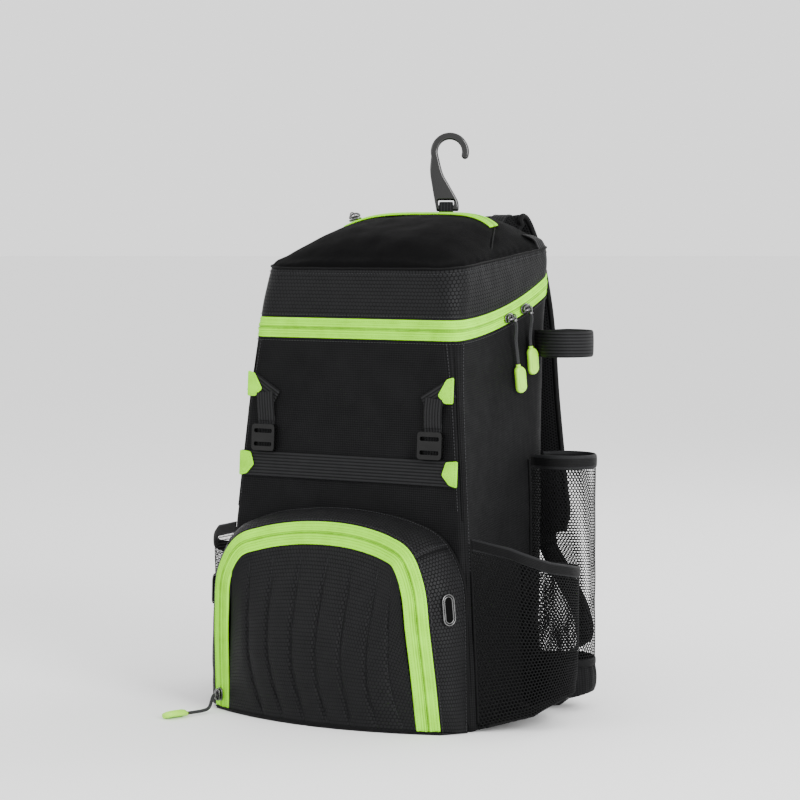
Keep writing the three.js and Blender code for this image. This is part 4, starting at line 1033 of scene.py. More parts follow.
def plan_distance(x, y, start, finish):
    """Distance in plan from the segment between two places."""
    run = finish - start
    share = np.clip(((x - start[0]) * run[0] + (y - start[1]) * run[1]) / np.dot(run, run), 0, 1)
    return np.hypot(x - start[0] - share * run[0], y - start[1] - share * run[1])


def make_lid_band(t):
    low, high = zip_high(t) + GAP, seam_at(t) - GAP
    rise = np.linspace(0, 1, 22)[:, None]
    band = np.array([skin(t, low + (high - low) * share) for share in rise[:, 0]])
    walked = lengths(band, 1)[None, :]
    gather = 0.22 * np.sin(walked / 1.9 + 3 * wobble(band, 45, 23.0)) * bell(1 - rise, 0.2)
    puff = 1.3 * wobble(band, 40, 4.0) + 0.5 * wobble(band, 18, 8.0) + 1.3
    out = puff * np.sin(math.pi * rise) + gather * np.clip((1 - rise) / 0.04, 0, 1)
    band = band + grid_normals(band) * out[..., None]
    slab("lid_band_cloth", band, "ripstop", thickness=3.0, covers=("lid_band",))


def make_lid_cover(t):
    """The dome: rings from the seam to its middle, with folds, the sunk seams and the gathered edge."""
    shares = np.concatenate([[0, 0.006, 0.014, 0.024, 0.038], np.linspace(0.055, 0.985, 44)])
    seam = skin(t, SEAM_HEIGHT + 0 * t)
    rows = []
    for share in shares:
        x, y = toward_middle(seam, share)
        z = seam_at(t) if share == 0 else np.maximum(dome_z(x, y), seam_at(t))
        rows.append(np.stack([x, y, z], -1))
    top = np.array(rows)
    n = grid_normals(top)
    n = np.where(n[..., 2:] < 0, -n, n)
    down = shares[:, None]
    fold = 2.2 * wobble(top, 55, 11.0) + 1.0 * wobble(top, 24, 6.0)
    calm = 1 - 0.8 * bell(top[..., 1] - top_zip_y(top[..., 0]), 10.0)
    sunk = 1.5 * bell(plan_distance(np.abs(top[..., 0]), top[..., 1], *lid_seam_ends()), 2.6)
    walked = lengths(top[:1], 1)[None, :]
    gather = np.sin(walked / 1.9 + 3 * wobble(top, 45, 21.0)) * bell(down, 0.05) * np.clip(down / 0.01, 0, 1)
    top = top + n * ((fold * calm - sunk) * np.clip(down / 0.12, 0, 1) + 0.3 * gather)[..., None]
    away = unit(seam[:, :2] - LID_MIDDLE)
    top[..., :2] += away[None] * (2.6 * np.sin(math.pi * np.clip(shares / 0.1, 0, 1)) ** 2)[:, None, None]
    cap = np.array([[[*LID_MIDDLE, float(dome_z(*LID_MIDDLE))]] * len(t)])
    full = np.concatenate([top, cap])
    uv = np.stack([full[..., 0], full[..., 1] + 0.6 * full[..., 2]], -1)
    faces = grid_faces(len(full), len(t))
    finish_mesh("lid_cover", full.reshape(-1, 3), faces, "lid_cloth", uv.reshape(-1, 2), covers=("lid_top",))


def make_lid_seams():
    t = np.linspace(0, TURN, 520, endpoint=False)
    path = skin(t, seam_at(t), 0.3)
    path[:, 2] += 0.5 * wobble(path, 16, 17.0)
    tube("lid_piping", path, 1.1, "piping", sides=10, closed=True)
    start, finish = lid_seam_ends()
    run = start + (finish - start) * np.linspace(0, 1, 40)[:, None]
    for side, sign in SIDES.items():
        line = np.stack([sign * run[:, 0], run[:, 1], dome_z(run[:, 0], run[:, 1]) - 0.6], -1)
        tube(f"lid_seam_{side}", line, 0.8, "piping")
        away = np.tile(np.array([0.25 * sign, 0, 1.0]), (40, 1))
        stitches(f"lid_seam_stitches_{side}", [(line + np.array([-2.6 * sign, -1.2, 1.0]), away)], "thread")
        make_corner_tab(side, sign)


def make_corner_tab(side, sign):
    """Short ribbed webbing sewn in the lid's seam near its back corner."""
    t = np.interp(np.linspace(75, 92, 15), seam_y[on_side], seam_t[on_side])
    reach = np.linspace(0, 0.13, 13)
    grid = []
    for at, seam in zip(t, skin(t, SEAM_HEIGHT + 0 * t)):
        x, y = toward_middle(seam, reach)
        z = np.maximum(dome_z(x, y), float(seam_at(at))) + 1.2 + 2.6 * np.sin(math.pi * reach / 0.13)
        x = x + 2.4 * np.sin(math.pi * np.clip(reach / 0.1, 0, 1)) ** 2
        grid.append(np.stack([sign * x, y, z], -1))
    grid = np.array(grid)
    slab(f"corner_tab_{side}", grid, "webbing", thickness=1.8, turned=grid_normals(grid)[7, 6][2] < 0)


def make_lid():
    t = np.concatenate([ring_t, [1.5 * TURN]])
    make_lid_band(t)
    make_lid_cover(t)
    make_lid_seams()


# Zippers

def tape_profile(c, half):
    """Height of the tape's cloth at c from its middle line: coil, slit, welt and hem."""
    a = np.abs(c)
    coil = np.clip(1 - ((a - 1.9) / 1.9) ** 4, 0, 1)
    return float(coil - 0.8 * bell(a, 0.35) + 0.45 * bell(a - 5.4, 0.8) + 0.35 * bell(a - half + 0.8, 0.9))


def make_lid_zip():
    t = np.linspace(-16, 16, 16 * 16 + 1)
    low, high = zip_low(t) + GAP, zip_high(t) - GAP
    half = ZIP_WIDTH / 2 - GAP
    shares = np.linspace(0, 1, 39)
    rows = [skin(t, low + (high - low) * s, 0.5 + tape_profile((s - 0.5) * 2 * half, half)) for s in shares]
    under = [skin(t, low + (high - low) * s, -1.6) for s in shares]
    slab("lid_zip_tape", np.array(rows), "bright_tape", bottom=np.array(under), covers=("lid_zipper",),
         centred=True)
    runs = [skin_run(t, low + (high - low) * s, 1.0) for s in (0.1, 0.9)]
    stitches("lid_zip_stitches", runs, "bright_thread", pitch=2.6, length=1.9, width=0.5, height=0.3)


def make_top_zip():
    x = np.linspace(-TOP_ZIP_HALF, TOP_ZIP_HALF, 97)
    half = TOP_ZIP_WIDTH / 2
    rows, under = [], []
    for c in np.linspace(-half, half, 29):
        y = top_zip_y(x) + c
        z = dome_z(x, y) + GAP + 0.6
        rows.append(np.stack([x, y, z + 0.8 + 0.8 * tape_profile(c, half)], -1))
        under.append(np.stack([x, y, z - 0.9], -1))
    slab("top_zip_tape", np.array(rows), "bright_tape", bottom=np.array(under), covers=("top_zipper",),
         centred=True)

    def top_at(share):
        at = -TOP_ZIP_HALF + share * SLIDER_LENGTH
        y = float(top_zip_y(at))
        return np.array([at, y, float(dome_z(at, y)) + GAP + 1.5])
    place = slider_place(top_at(0.6), top_at(1.4) - top_at(0.6), np.array([-0.3, 0, 1.0]))
    make_slider("top_slider", place)
    origin, along, across, out = place
    pull_ring("top_slider_ring", origin - along * 2.0 + out * 5.4, across, out, TOP_RING)


# Front pocket

def gusset_point(share, out, lift=0.0):
    """From the zipper's edge, out 0, to the root on the bag, out 1, and off the cloth by lift."""
    edge = tape_point(share, POCKET_ZIP / 2 + GAP + 0 * share)
    root = root_curve.at(share)
    root[..., 2] = np.maximum(root[..., 2], FLOOR + GAP)
    away = -unit(np.cross(arch_curve.along(share), root - edge))
    return edge + (root - edge) * out + away * (4 * np.sin(math.pi * np.asarray(out)) + lift)


def make_gusset(share):
    outs = np.linspace(0, 1, 23)
    wall = np.array([gusset_point(share, o) for o in outs])
    n = grid_normals(wall)
    lifted = gusset_point(share, 0.5, 1.0) - gusset_point(share, 0.5)
    facing = np.sign(np.sum(n * lifted[None], axis=-1))[..., None]
    n = n * facing
    fade = np.clip(np.minimum(share, 1 - share) / 0.03, 0, 1)[None, :]
    fade = (np.sin(math.pi * outs) ** 0.7)[:, None] * fade
    wall = wall + n * ((1.2 * wobble(wall, 34, 2.0) + 0.5 * wobble(wall, 14, 7.0) + 0.6) * fade)[..., None]
    turned = bool(facing[5, 60, 0] < 0)
    slab("pocket_gusset_cloth", wall, "ripstop_tall", bottom=wall - n * 2.0, turned=turned,
         covers=("pocket_gusset",), swapped=True)


def make_pocket_zip(share):
    half = POCKET_ZIP / 2
    normal = tape_normal(share)

    def line(c, lift):
        return tape_point(share, c + 0 * share) + normal * lift
    offsets = np.linspace(-half, half, 41)
    tape = np.array([line(c, tape_profile(c, half)) for c in offsets])
    back = np.array([line(c, -TAPE) for c in offsets])
    turned = bool(np.sum(grid_normals(tape)[20, 60] * normal[60]) < 0)
    slab("pocket_zip_tape", tape, "bright_tape", bottom=back, turned=turned, covers=("pocket_zipper",),
         centred=True)
    runs = [(line(c, 0.35), normal) for c in (-half + 1.9, half - 1.9)]
    stitches("pocket_zip_stitches", runs, "bright_thread", pitch=2.6, length=1.9, width=0.5, height=0.35)


def make_pocket_seams(share):
    lines = ((0.055, 0.75), (0.93, 0.9))
    runs = [(gusset_point(share, out, lift), tape_normal(share)) for out, lift in lines]
    stitches("pocket_seam_stitches", runs, "thread", pitch=3.0)
    across = np.linspace(0.03, 0.97, 40)[:, None]
    for side, sign in SIDES.items():
        at = np.full(40, 0.5 - sign * 0.235)
        line = gusset_point(at, across, 0.55)
        tube(f"gusset_seam_{side}", line, 0.7, "piping")
        away = unit(gusset_point(at, across, 1.5) - line)
        sewn = gusset_point(at + sign * 0.008, across, 0.9)
        stitches(f"gusset_seam_stitches_{side}", [(sewn, away)], "thread")
    root = gusset_point(share, 1.0, 0.4)
    root[:, 1] -= 0.6
    tube("pocket_root_piping", root[2:-2], 1.5, "piping", sides=10)


def make_pocket():
    share = np.linspace(0, 1, 257)
    make_gusset(share)
    make_pocket_zip(share)
    make_pocket_seams(share)


def channel_shift(up):
    """The sewn lines sweep to the right towards the door's foot."""
    return 0.06 + 0.14 * max(0.0, 1 - up / 0.5) ** 2


def door_points(across, up):
    """The crowned door: across from -1 to 1, up from 0 to 1."""
    crown = 1 - across ** 2
    share = (1 - ARCH_TURN) + (2 * ARCH_TURN - 1) * (across + 1) / 2
    top = tape_point(share, DOOR_EDGE + 0 * share)
    foot = tape_point(np.zeros(1), np.array([DOOR_EDGE]))[0]
    start = np.stack([foot[0] * across, foot[1] - DOOR_CROWN * crown, FLOOR + GAP + 0 * across], -1)
    point = start + (top - start) * up
    line = (across - channel_shift(up)) / CHANNEL_PITCH
    ridge = np.where(np.abs(line) < (CHANNELS - 1) / 2, np.abs(np.cos(math.pi * line)), 0)
    groove = 0.9 * bell(ridge - 1, 0.03) + 0.85 * (1 - np.sqrt(np.clip(1 - ridge ** 2, 0, 1)))
    fade = np.sqrt(np.clip(crown, 0, 1)) * min(1, 4 * (1 - up)) * min(1, 10 * up + 0.2)
    point[..., 1] -= DOOR_BULGE * math.sin(math.pi * up) * crown - CHANNEL_DEPTH * 0.8 * groove * fade
    return point


def make_door():
    across, ups = np.linspace(-1, 1, 241), np.linspace(0, 1, 84)
    front = np.array([door_points(across, float(u)) for u in ups])
    crown = (1 - across ** 2)[None, :]
    fade = np.sqrt(np.clip(crown, 0, 1)) * np.clip(np.minimum(ups, 1 - ups) / 0.08, 0, 1)[:, None]
    front[..., 1] -= fade * (0.9 * wobble(front, 30, 13.0) + 0.35 * wobble(front, 12, 1.0))
    back = front + np.array([0, 2.0, 0])
    slab("pocket_door_cloth", front, "ripstop_tall", bottom=back, covers=("pocket_door",))
    runs = []
    for line in range(1 - CHANNELS // 2, CHANNELS // 2):
        points = [door_points(np.array([line * CHANNEL_PITCH + channel_shift(up)]), up)[0]
                  for up in np.linspace(0.03, 0.93, 80).tolist()]
        runs.append((np.array(points) + np.array([0, -0.1, 0]), np.tile([0, -1.0, 0.05], (80, 1))))
    stitches("door_channel_stitches", runs, "thread", pitch=3.0, length=2.1, width=0.5, height=0.35)


def make_floor():
    front = door_points(np.linspace(-1, 1, 61), 0.0)
    zipper = tape_point(np.zeros(1), np.array([POCKET_ZIP / 2]))[0]
    half = root_rows(1.0)[0][0]
    y_back = float(flat_front(0.0)) - GAP - 0.4
    outline = [(-half, y_back), (-zipper[0], zipper[1]), *[(p[0], p[1]) for p in front],
               (zipper[0], zipper[1]), (half, y_back)]
    place = ((0, 0, 0), (1, 0, 0), (0, 1, 0), (0, 0, 1))
    moulded("pocket_floor_cloth", outline, FLOOR, 0.8, "ripstop", place, covers=("pocket_floor",))
    rim = even(np.array([(x, y, 2.6) for x, y in outline[1:-1]]), 2.5)
    tube("base_piping", rim, 0.9, "piping", sides=10)


def make_eyelets():
    for side, sign in SIDES.items():
        share = np.array([0.5 - sign * 0.328])
        base = gusset_point(share, 0.45)[0]
        away = unit(gusset_point(share, 0.45, 1.0)[0] - base)
        up = arch_curve.along(share)[0] * sign
        up = unit(up - away * np.dot(up, away))
        across = np.cross(up, away)
        for tag, width, height, wire, lift, covers in (("outer", 12.6, 28.6, 0.75, 2.05, (f"eyelet_{side}",)),
                                                       ("inner", 8.8, 24.8, 0.65, 1.95, ())):
            shape = rounded(width, height, width / 2 - 0.05, 12)
            ring = [base + across * x + up * y + away * lift for x, y in shape]
            tube(f"eyelet_{tag}_{side}", ring, wire, "metal", sides=10, closed=True, covers=covers)
        # A dark plate inside each eyelet is painted shade: it stands for the shade seen through the hole
        moulded(f"eyelet_shade_plate_{side}", rounded(10.4, 26.4, 5.1, 12), 0.5, 0.15, "dark",
                (base + away * 1.05, across, up, away))


# Side pockets

def wrap_points(i, z, plan, sign, attach, size=1.0):
    """Points on a pocket's plan: i from 0 to 13 round it, at heights z."""
    y_front, y_back, middle, radius = plan
    i, z = np.broadcast_arrays(np.asarray(i, float), np.asarray(z, float))
    radius = radius * size
    panel = np.maximum(z, ROUNDING)
    front = y_front(panel) if callable(y_front) else y_front + 0 * z
    start = np.stack([side_at(front, panel) + attach, front], -1)
    end = np.stack([side_at(y_back + 0 * z, panel) + attach, y_back + 0 * z], -1)
    mid = np.array(middle)
    to_start, to_end = start - mid, end - mid
    reach = [np.arccos(np.minimum(radius / np.linalg.norm(v, axis=-1), 1)) for v in (to_start, to_end)]
    low = np.arctan2(to_start[..., 1], to_start[..., 0]) + reach[0]
    high = np.arctan2(to_end[..., 1], to_end[..., 0]) - reach[1]
    angle = low + (high - low) * np.clip((i - 2) / 9, 0, 1)
    arc = mid + radius * np.stack([np.cos(angle), np.sin(angle)], -1)
    w = np.clip(i / 2, 0, 1)[..., None]
    out = np.clip((i - 11) / 2, 0, 1)[..., None]
    point = (start * (1 - w) + arc * w) * (1 - out) + end * out
    return np.stack([sign * point[..., 0], point[..., 1], z], -1)


def cup_grid(plan, high, lift, sign, rows, seat=1.0):
    """Grid of a pocket's wall and of its floor, which tucks in to the side panel."""
    i = np.linspace(0, 13, AROUND)
    y_front = plan[0](ROUNDING) if callable(plan[0]) else plan[0]
    y = y_front + (plan[1] - y_front) * i / 13
    grid = []
    for step in np.linspace(0, 6, rows):
        drop, size, tuck = (float(np.interp(step, np.arange(7), CUP[:, c])) for c in range(3))
        bottom = CUP_BOTTOM + lift * np.sin(math.pi * i / 13) * (1 - tuck)
        z = bottom + (high(i) - bottom) * drop + (0.8 if tuck > 0 else 0)
        wall = wrap_points(i, z, plan, sign, GAP + NET * seat, size)
        panel = np.stack([sign * (side_at(y, ROUNDING + 0 * y) + 4 * GAP), y, z], -1)
        grid.append(wall * (1 - tuck) + panel * tuck)
    return np.array(grid)


def wall_grid(plan, low, high, sign, seat, columns, rows, out=0.0, edge=None):
    """Grid of a pocket's wall from low to high, out of its plan by out and by what edge adds."""
    i = np.linspace(0, 13, columns)
    y_front, y_back, middle, radius = plan
    grid = []
    for j in range(rows):
        share = j / (rows - 1)
        more = out if edge is None else out + edge(share)
        z = low + (high - low) * share + 0 * i
        grid.append(wrap_points(i, z, (y_front, y_back, middle, radius + more), sign, GAP + seat + more))
    return np.array(grid)


def outward(grid, row, column, sign):
    """A side grid's normals, turned out of the bag, and 1 or -1 for how they were turned."""
    n = grid_normals(grid)
    facing = 1.0 if n[row, column][0] * sign > 0 else -1.0
    return n * facing, facing


def net_mesh(name, grid, out_sign, covers):
    """An open hexagon net laid over a grid of points: each strand is a low ridge."""
    u, v = lengths(grid, 1), lengths(grid, 0)
    step_y = NET_PITCH * ROOT3 / 2
    rows, cols = int(v[-1] / step_y) + 2, int(u[-1] / NET_PITCH) + 2
    j, i = np.meshgrid(np.arange(rows), np.arange(cols), indexing="ij")
    centres = np.stack([((i + 0.5 * (j % 2)) * NET_PITCH).ravel(), (j * step_y).ravel()], -1)
    past = 0.4 * NET_PITCH
    centres = centres[(centres[:, 0] < u[-1] + past) & (centres[:, 1] < v[-1] + past)]
    angle = np.radians(np.arange(6) * 60 + 30)
    shape = np.stack([np.cos(angle), np.sin(angle)], -1)
    radius = NET_PITCH / ROOT3
    radii = (radius, radius - NET_STRAND / ROOT3)
    places = np.concatenate([(centres[:, None] + r * shape[None]).reshape(-1, 2) for r in radii])
    fu = np.interp(np.clip(places[:, 0], 0, u[-1]), u, np.arange(len(u)))
    fv = np.interp(np.clip(places[:, 1], 0, v[-1]), v, np.arange(len(v)))
    iu = np.minimum(fu.astype(int), len(u) - 2)
    iv = np.minimum(fv.astype(int), len(v) - 2)
    wu, wv = (fu - iu)[:, None], (fv - iv)[:, None]

    def sample(field):
        return ((field[iv, iu] * (1 - wu) + field[iv, iu + 1] * wu) * (1 - wv)
                + (field[iv + 1, iu] * (1 - wu) + field[iv + 1, iu + 1] * wu) * wv)
    verts = sample(grid)
    n = len(centres) * 6
    verts[:n] += sample(grid_normals(grid) * out_sign)[:n] * 0.3
    k = np.arange(6)
    base = (np.arange(len(centres)) * 6)[:, None]
    a, b = base + k, base + (k + 1) % 6
    faces = np.stack([a, b, b + n, a + n], -1).reshape(-1, 4)
    finish_mesh(name, verts, faces if out_sign > 0 else faces[:, ::-1], "net", flat=True, covers=covers)


def bottle_rim(i):
    return BOTTLE_RIM * np.interp(i / 13, RIM[:, 0], RIM[:, 1])


def round_slab(name, plan, low, high, sign, base, seat, look, covers=(), rows=13):
    """A band round a pocket, thicker in its middle."""
    def swell(s):
        return 1.15 * math.sqrt(max(0.0, 1 - (2 * s - 1) ** 2)) ** 0.6
    top = wall_grid(plan, low, high, sign, seat, 131, rows, out=base, edge=swell)
    under = wall_grid(plan, low, high, sign, seat, 131, rows, out=base - 1.1)
    turned = outward(top, rows // 2, 65, sign)[1] < 0
    slab(name, top, look, bottom=under, turned=turned, covers=covers, centred=True)


def make_bottle_pocket(side, sign):
    radius, out, y = BOTTLES[side]
    plan = (front_edge, BOTTLE_BACK, (out, y), radius)
    grid = cup_grid(plan, bottle_rim, BOTTLE_LIFT, sign, 90, seat=0.85)
    rows, columns = grid.shape[:2]
    n, facing = outward(grid, rows // 3, columns // 2, sign)
    slack = np.sin(math.pi * np.linspace(0, 1, columns))[None, :]
    slack = np.clip(np.linspace(0, 1, rows) / 0.1, 0, 1)[:, None] * slack
    amount = 1.0 if side == "right" else 2.2
    grid = grid + n * (slack * amount * wobble(grid, 42, 5.0 + sign))[..., None]
    last = int(rows * 4 / 6)
    net_mesh(f"bottle_net_{side}", grid[:last + 1], facing, (f"bottle_pocket_{side}",))
    slab(f"bottle_base_{side}", grid[last - 2:], "cloth", thickness=1.2, turned=facing < 0)
    tube(f"net_binding_bottom_{side}", grid[last, 2:-2] + np.array([0, 0, 0.6]), 1.5, "piping", sides=10)
    rim = bottle_rim(np.linspace(0, 13, 131))
    round_slab(f"bottle_rim_{side}", plan, rim + GAP, rim + BAND_WIDTH, sign, 0.3, BAND * 0.85, "elastic",
               (f"bottle_band_{side}",))


def make_bat_sleeve(side, sign):
    plan = (SLEEVE_FRONT, SLEEVE_BACK, (BAT_OUT, BAT_Y), SLEEVE_RADIUS)
    foot = cup_grid(plan, lambda i: FOOT + 0 * i, FOOT_LIFT, sign, 44)
    n, facing = outward(foot, 10, 50, sign)
    level = np.clip(foot[..., 2] / FOOT, 0, 1)
    around = np.linspace(0, 1, AROUND)[None, :]
    bulge = 2.8 * np.sin(math.pi * level) - 0.8 * level
    pucker = 0.7 * np.sin(around * 95 + 3 * wobble(foot, 20, 6.0)) * level ** 2
    foot = foot + n * ((bulge + pucker) * np.sin(math.pi * around) + 0.8 * wobble(foot, 16, 3.0))[..., None]
    slab(f"sleeve_foot_{side}", foot, "cloth", thickness=1.5, turned=facing < 0,
         covers=(f"bat_sleeve_foot_{side}",))
    wall = wall_grid(plan, FOOT + GAP, SLEEVE_TOP - GAP, sign, NET, AROUND, 60)
    n, facing = outward(wall, 30, 50, sign)
    calm = np.sin(math.pi * np.linspace(0, 1, 60))[:, None] * np.sin(math.pi * around)
    wall = wall + n * (calm * 1.2 * wobble(wall, 38, 8.0 + sign))[..., None]
    net_mesh(f"sleeve_net_{side}", wall, facing, (f"bat_sleeve_{side}",))
    round_slab(f"sleeve_rim_{side}", plan, SLEEVE_TOP, SLEEVE_TOP + BAND_WIDTH + 2, sign, 0.3, BAND,
               "elastic", (f"bat_sleeve_band_{side}",))
    round_slab(f"foot_binding_{side}", plan, FOOT - 3.5, FOOT + 4, sign, 0.1, NET, "piping", rows=9)


def make_bat_loop(side, sign):
    plan = (LOOP_FRONT, LOOP_BACK, (BAT_OUT, BAT_Y), LOOP_RADIUS)
    low, high = LOOP_HEIGHT - WEBBING / 2, LOOP_HEIGHT + WEBBING / 2
    round_slab(f"loop_elastic_{side}", plan, low, high, sign, 0.0, WEB, "webbing", (f"bat_loop_{side}",),
               rows=25)


def make_net_bindings(side, sign):
    """Piping where the nets are sewn to the side panel."""
    seams = (("front", None, 8, BOTTLE_RIM + 6), ("middle", BOTTLE_BACK + 2.2, 8, 0.82 * BOTTLE_RIM + 8),
             ("sleeve", SLEEVE_FRONT - 1.6, 10, SLEEVE_TOP + 8))
    for tag, y, low, high in seams:
        z = np.linspace(low, high, 60)
        at = front_edge(z) - 0.5 if y is None else y + 0 * z
        run = np.stack([sign * (side_at(at, z) + 0.9), at, z], -1)
        tube(f"net_binding_{tag}_{side}", run, 1.5, "piping", sides=10, squash=0.8)


# Helmet holder

lean = math.atan2(float(flat_front(UPPER_TAB) - flat_front(LOWER_TAB)), UPPER_TAB - LOWER_TAB)
OUT = np.array([0, -math.cos(lean), math.sin(lean)])
UPPER_SHAPE = [(0, -0.5), (0, 0.5), (-0.45, 0.42), (-1, -0.2), (-0.55, -0.5)]
LOWER_SHAPE = [(0, -0.5), (0, 0.5), (-0.75, 0.45), (-1, -0.05), (-0.5, -0.42)]


def on_front(x, z, out):
    return np.array([x, float(flat_front(z)), z]) + OUT * out


def polygon_area(points):
    p = np.asarray(points, float)
    q = np.roll(p, -1, axis=0)
    return 0.5 * float(np.sum(p[:, 0] * q[:, 1] - p[:, 1] * q[:, 0]))


def soften(points, radius, steps=5):
    """An outline with its corners rounded."""
    p = np.asarray(points, float)
    made = []
    for k in range(len(p)):
        a, b, c = p[k - 1], p[k], p[(k + 1) % len(p)]
        into = b + unit(a - b) * min(radius, 0.4 * np.linalg.norm(a - b))
        away = b + unit(c - b) * min(radius, 0.4 * np.linalg.norm(c - b))
        for s in np.linspace(0, 1, steps):
            made.append((1 - s) ** 2 * into + 2 * s * (1 - s) * b + s ** 2 * away)
    return [tuple(q) for q in made]


def make_seam_tab(name, shape, z, sign, out):
    """A bright tab sewn in the front panel's seam, with a row of stitches round it."""
    corners = [(sign * x * TAB_LENGTH, y * TAB_HEIGHT) for x, y in shape]
    if sign < 0:
        corners = corners[::-1]
    outline = soften(corners[::-1] if polygon_area(corners) < 0 else corners, 2.0)
    origin = on_front(sign * (half_front(z) - 3), z, out)
    ax = np.array([1.0, 0, 0])
    ay = np.cross(OUT, ax)
    tab = moulded(f"seam_tab_{name}", outline, TAB, 0.6, "bright_cloth", (origin, ax, ay, OUT),
                  covers=(f"tab_{name}",))
    inset = offset_outline(outline, 2.2)
    run = np.array([origin + ax * p[0] + ay * p[1] + OUT * (TAB + 0.02) for p in [*inset, inset[0]]])
    sewn = stitches(f"tab_stitches_{name}", [(run, np.tile(OUT, (len(run), 1)))], "bright_thread",
                    pitch=2.4, length=1.7, width=0.5, height=0.3)
    sewn.parent = tab


def make_holder():
    strap_out = GAP + WEB / 2 + 0.1
    over = strap_out + WEB + 0.5
    lock_z = LOWER_TAB + (UPPER_TAB - LOWER_TAB) * 0.33
    lock_x = half_front(lock_z) - 3 - 1.6 * TAB_LENGTH
    cross_end = half_front(LOWER_TAB) - 4

    def strap(name, path, width, steps, covers=()):
        ribbon(name, path, width, WEB, steps, face=OUT, covers=covers)
    strap("cross_web", [on_front(s * cross_end, LOWER_TAB, strap_out) for s in (-1, 0, 1)], WEBBING, 60,
          ("cross_strap",))
    for side, sign in SIDES.items():
        for tag, shape, z in (("upper", UPPER_SHAPE, UPPER_TAB), ("lower", LOWER_SHAPE, LOWER_TAB)):
            make_seam_tab(f"{tag}_{side}", shape, z, sign, strap_out + WEB / 2 + GAP)
        top = on_front(sign * (half_front(UPPER_TAB) - 6), UPPER_TAB + 2, strap_out)
        fold = on_front(sign * (half_front(UPPER_TAB) - 3 - 1.9 * TAB_LENGTH), UPPER_TAB - 15, strap_out)
        path = [top, (top + fold) / 2, fold]
        strap(f"upper_web_{side}", path, HOLDER_WEBBING, 24, (f"upper_strap_{side}",))
        folded = [on_front(sign * (lock_x + x), UPPER_TAB - down, out) for x, down, out in
                  ((1.5, 8, over), (0.5, 20, over), (0, 30, strap_out + 1.2), (0, 36, strap_out + 0.6))]
        strap(f"fold_web_{side}", folded, HOLDER_WEBBING, 40)
        top = on_front(sign * lock_x, UPPER_TAB - 31, strap_out)
        foot = on_front(sign * lock_x, LOWER_TAB + WEBBING / 2 + 1, strap_out)
        strap(f"drop_web_{side}", [top, (top + foot) / 2, foot], HOLDER_WEBBING, 24, (f"drop_strap_{side}",))


def make_ladder_locks():
    """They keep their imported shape, with rounded edges."""
    for side in SIDES:
        lock = frame["nodes"][f"ladder_lock_{side}"]
        lock.data.materials.clear()
        lock.data.materials.append(LOOKS["plastic"])
        bevel = lock.modifiers.new("rounded", "BEVEL")
        bevel.width = 0.0007
        bevel.segments = 3
        bevel.limit_method = "ANGLE"


# Back

def fill_out(obj, free, most):
    """Cloth simulation: the pad fills out at its free points, by most metres at most, and is refined."""
    group = obj.vertex_groups.new(name="sewn")
    group.add([int(i) for i in np.setdiff1d(np.arange(len(obj.data.vertices)), free)], 1.0, "REPLACE")
    cloth = obj.modifiers.new("cloth", "CLOTH")
    settings = cloth.settings
    settings.quality = 6
    settings.mass = 0.15
    settings.tension_stiffness = settings.compression_stiffness = 12
    settings.shear_stiffness = 4
    settings.bending_stiffness = 0.4
    settings.use_pressure = True
    settings.uniform_pressure_force = 3.0
    settings.vertex_group_mass = "sewn"
    settings.effector_weights.gravity = 0
    cloth.collision_settings.use_collision = False
    cloth.point_cache.frame_start, cloth.point_cache.frame_end = 1, 20
    scene = bpy.context.scene
    for step in range(1, 21):
        scene.frame_set(step)
    count = len(obj.data.vertices)
    before, after = np.empty(count * 3), np.empty(count * 3)
    obj.data.vertices.foreach_get("co", before)
    obj.evaluated_get(bpy.context.evaluated_depsgraph_get()).data.vertices.foreach_get("co", after)
    move = (after - before).reshape(-1, 3)
    move *= np.minimum(1, most / np.maximum(np.linalg.norm(move, axis=1, keepdims=True), 1e-9))
    obj.modifiers.remove(cloth)
    scene.frame_set(1)
    obj.data.vertices.foreach_set("co", (before.reshape(-1, 3) + move).ravel())
    obj.data.update()
    finer = obj.modifiers.new("finer", "SUBSURF")
    finer.levels = finer.render_levels = 1


def make_back_cushion():
    x, z = np.linspace(-PAD_WIDTH / 2, PAD_WIDTH / 2, 51), np.linspace(PAD_BOTTOM, PAD_TOP, 101)
    gx, gz = np.meshgrid(x, z)
    a = (gx + PAD_WIDTH / 2) / PAD_WIDTH
    b = (gz - PAD_BOTTOM) / (PAD_TOP - PAD_BOTTOM)
    bow = np.clip(np.sin(math.pi * a), 0, 1) ** 0.32 * np.clip(np.sin(math.pi * b), 0, 1) ** 0.28
    cross = sum(bell(b - at + 0.05 * np.abs(gx) / PAD_WIDTH, 0.011) for at in (0.27, 0.52, 0.77))
    height = PAD * bow * (1 - 0.62 * bell(gx, 9.0)) * (1 - 0.55 * np.clip(cross, 0, 1))
    y = flat_back(gz) + GAP
    top = np.stack([gx, y + 0.4 + height, gz], -1)
    top[..., 1] += 0.5 * wobble(top, 40, 2.0) * bow
    under = np.stack([gx, y, gz], -1)
    pad = slab("back_cushion", top, "air_mesh", bottom=under, turned=True, covers=("back_pad",))
    sewn = (np.abs(gx) < 2.2) | (cross > 0.75) | (bow < 0.55)
    fill_out(pad, np.flatnonzero(~sewn.ravel()), 0.004)
    half = PAD_WIDTH / 2 - 1
    ring = soften([(-half, PAD_BOTTOM), (-half, PAD_TOP), (half, PAD_TOP), (half, PAD_BOTTOM)], 14, 9)
    path = even(np.array([(x, float(flat_back(z)) + 1.2, z) for x, z in [*ring, ring[0]]]), 4)[:-1]
    tube("cushion_piping", path, 1.9, "piping", sides=10, closed=True)


def on_back(side, back, up, sign):
    return np.array([sign * side * BASE_WIDTH / 2, back * BASE_DEPTH, up * RIDGE])


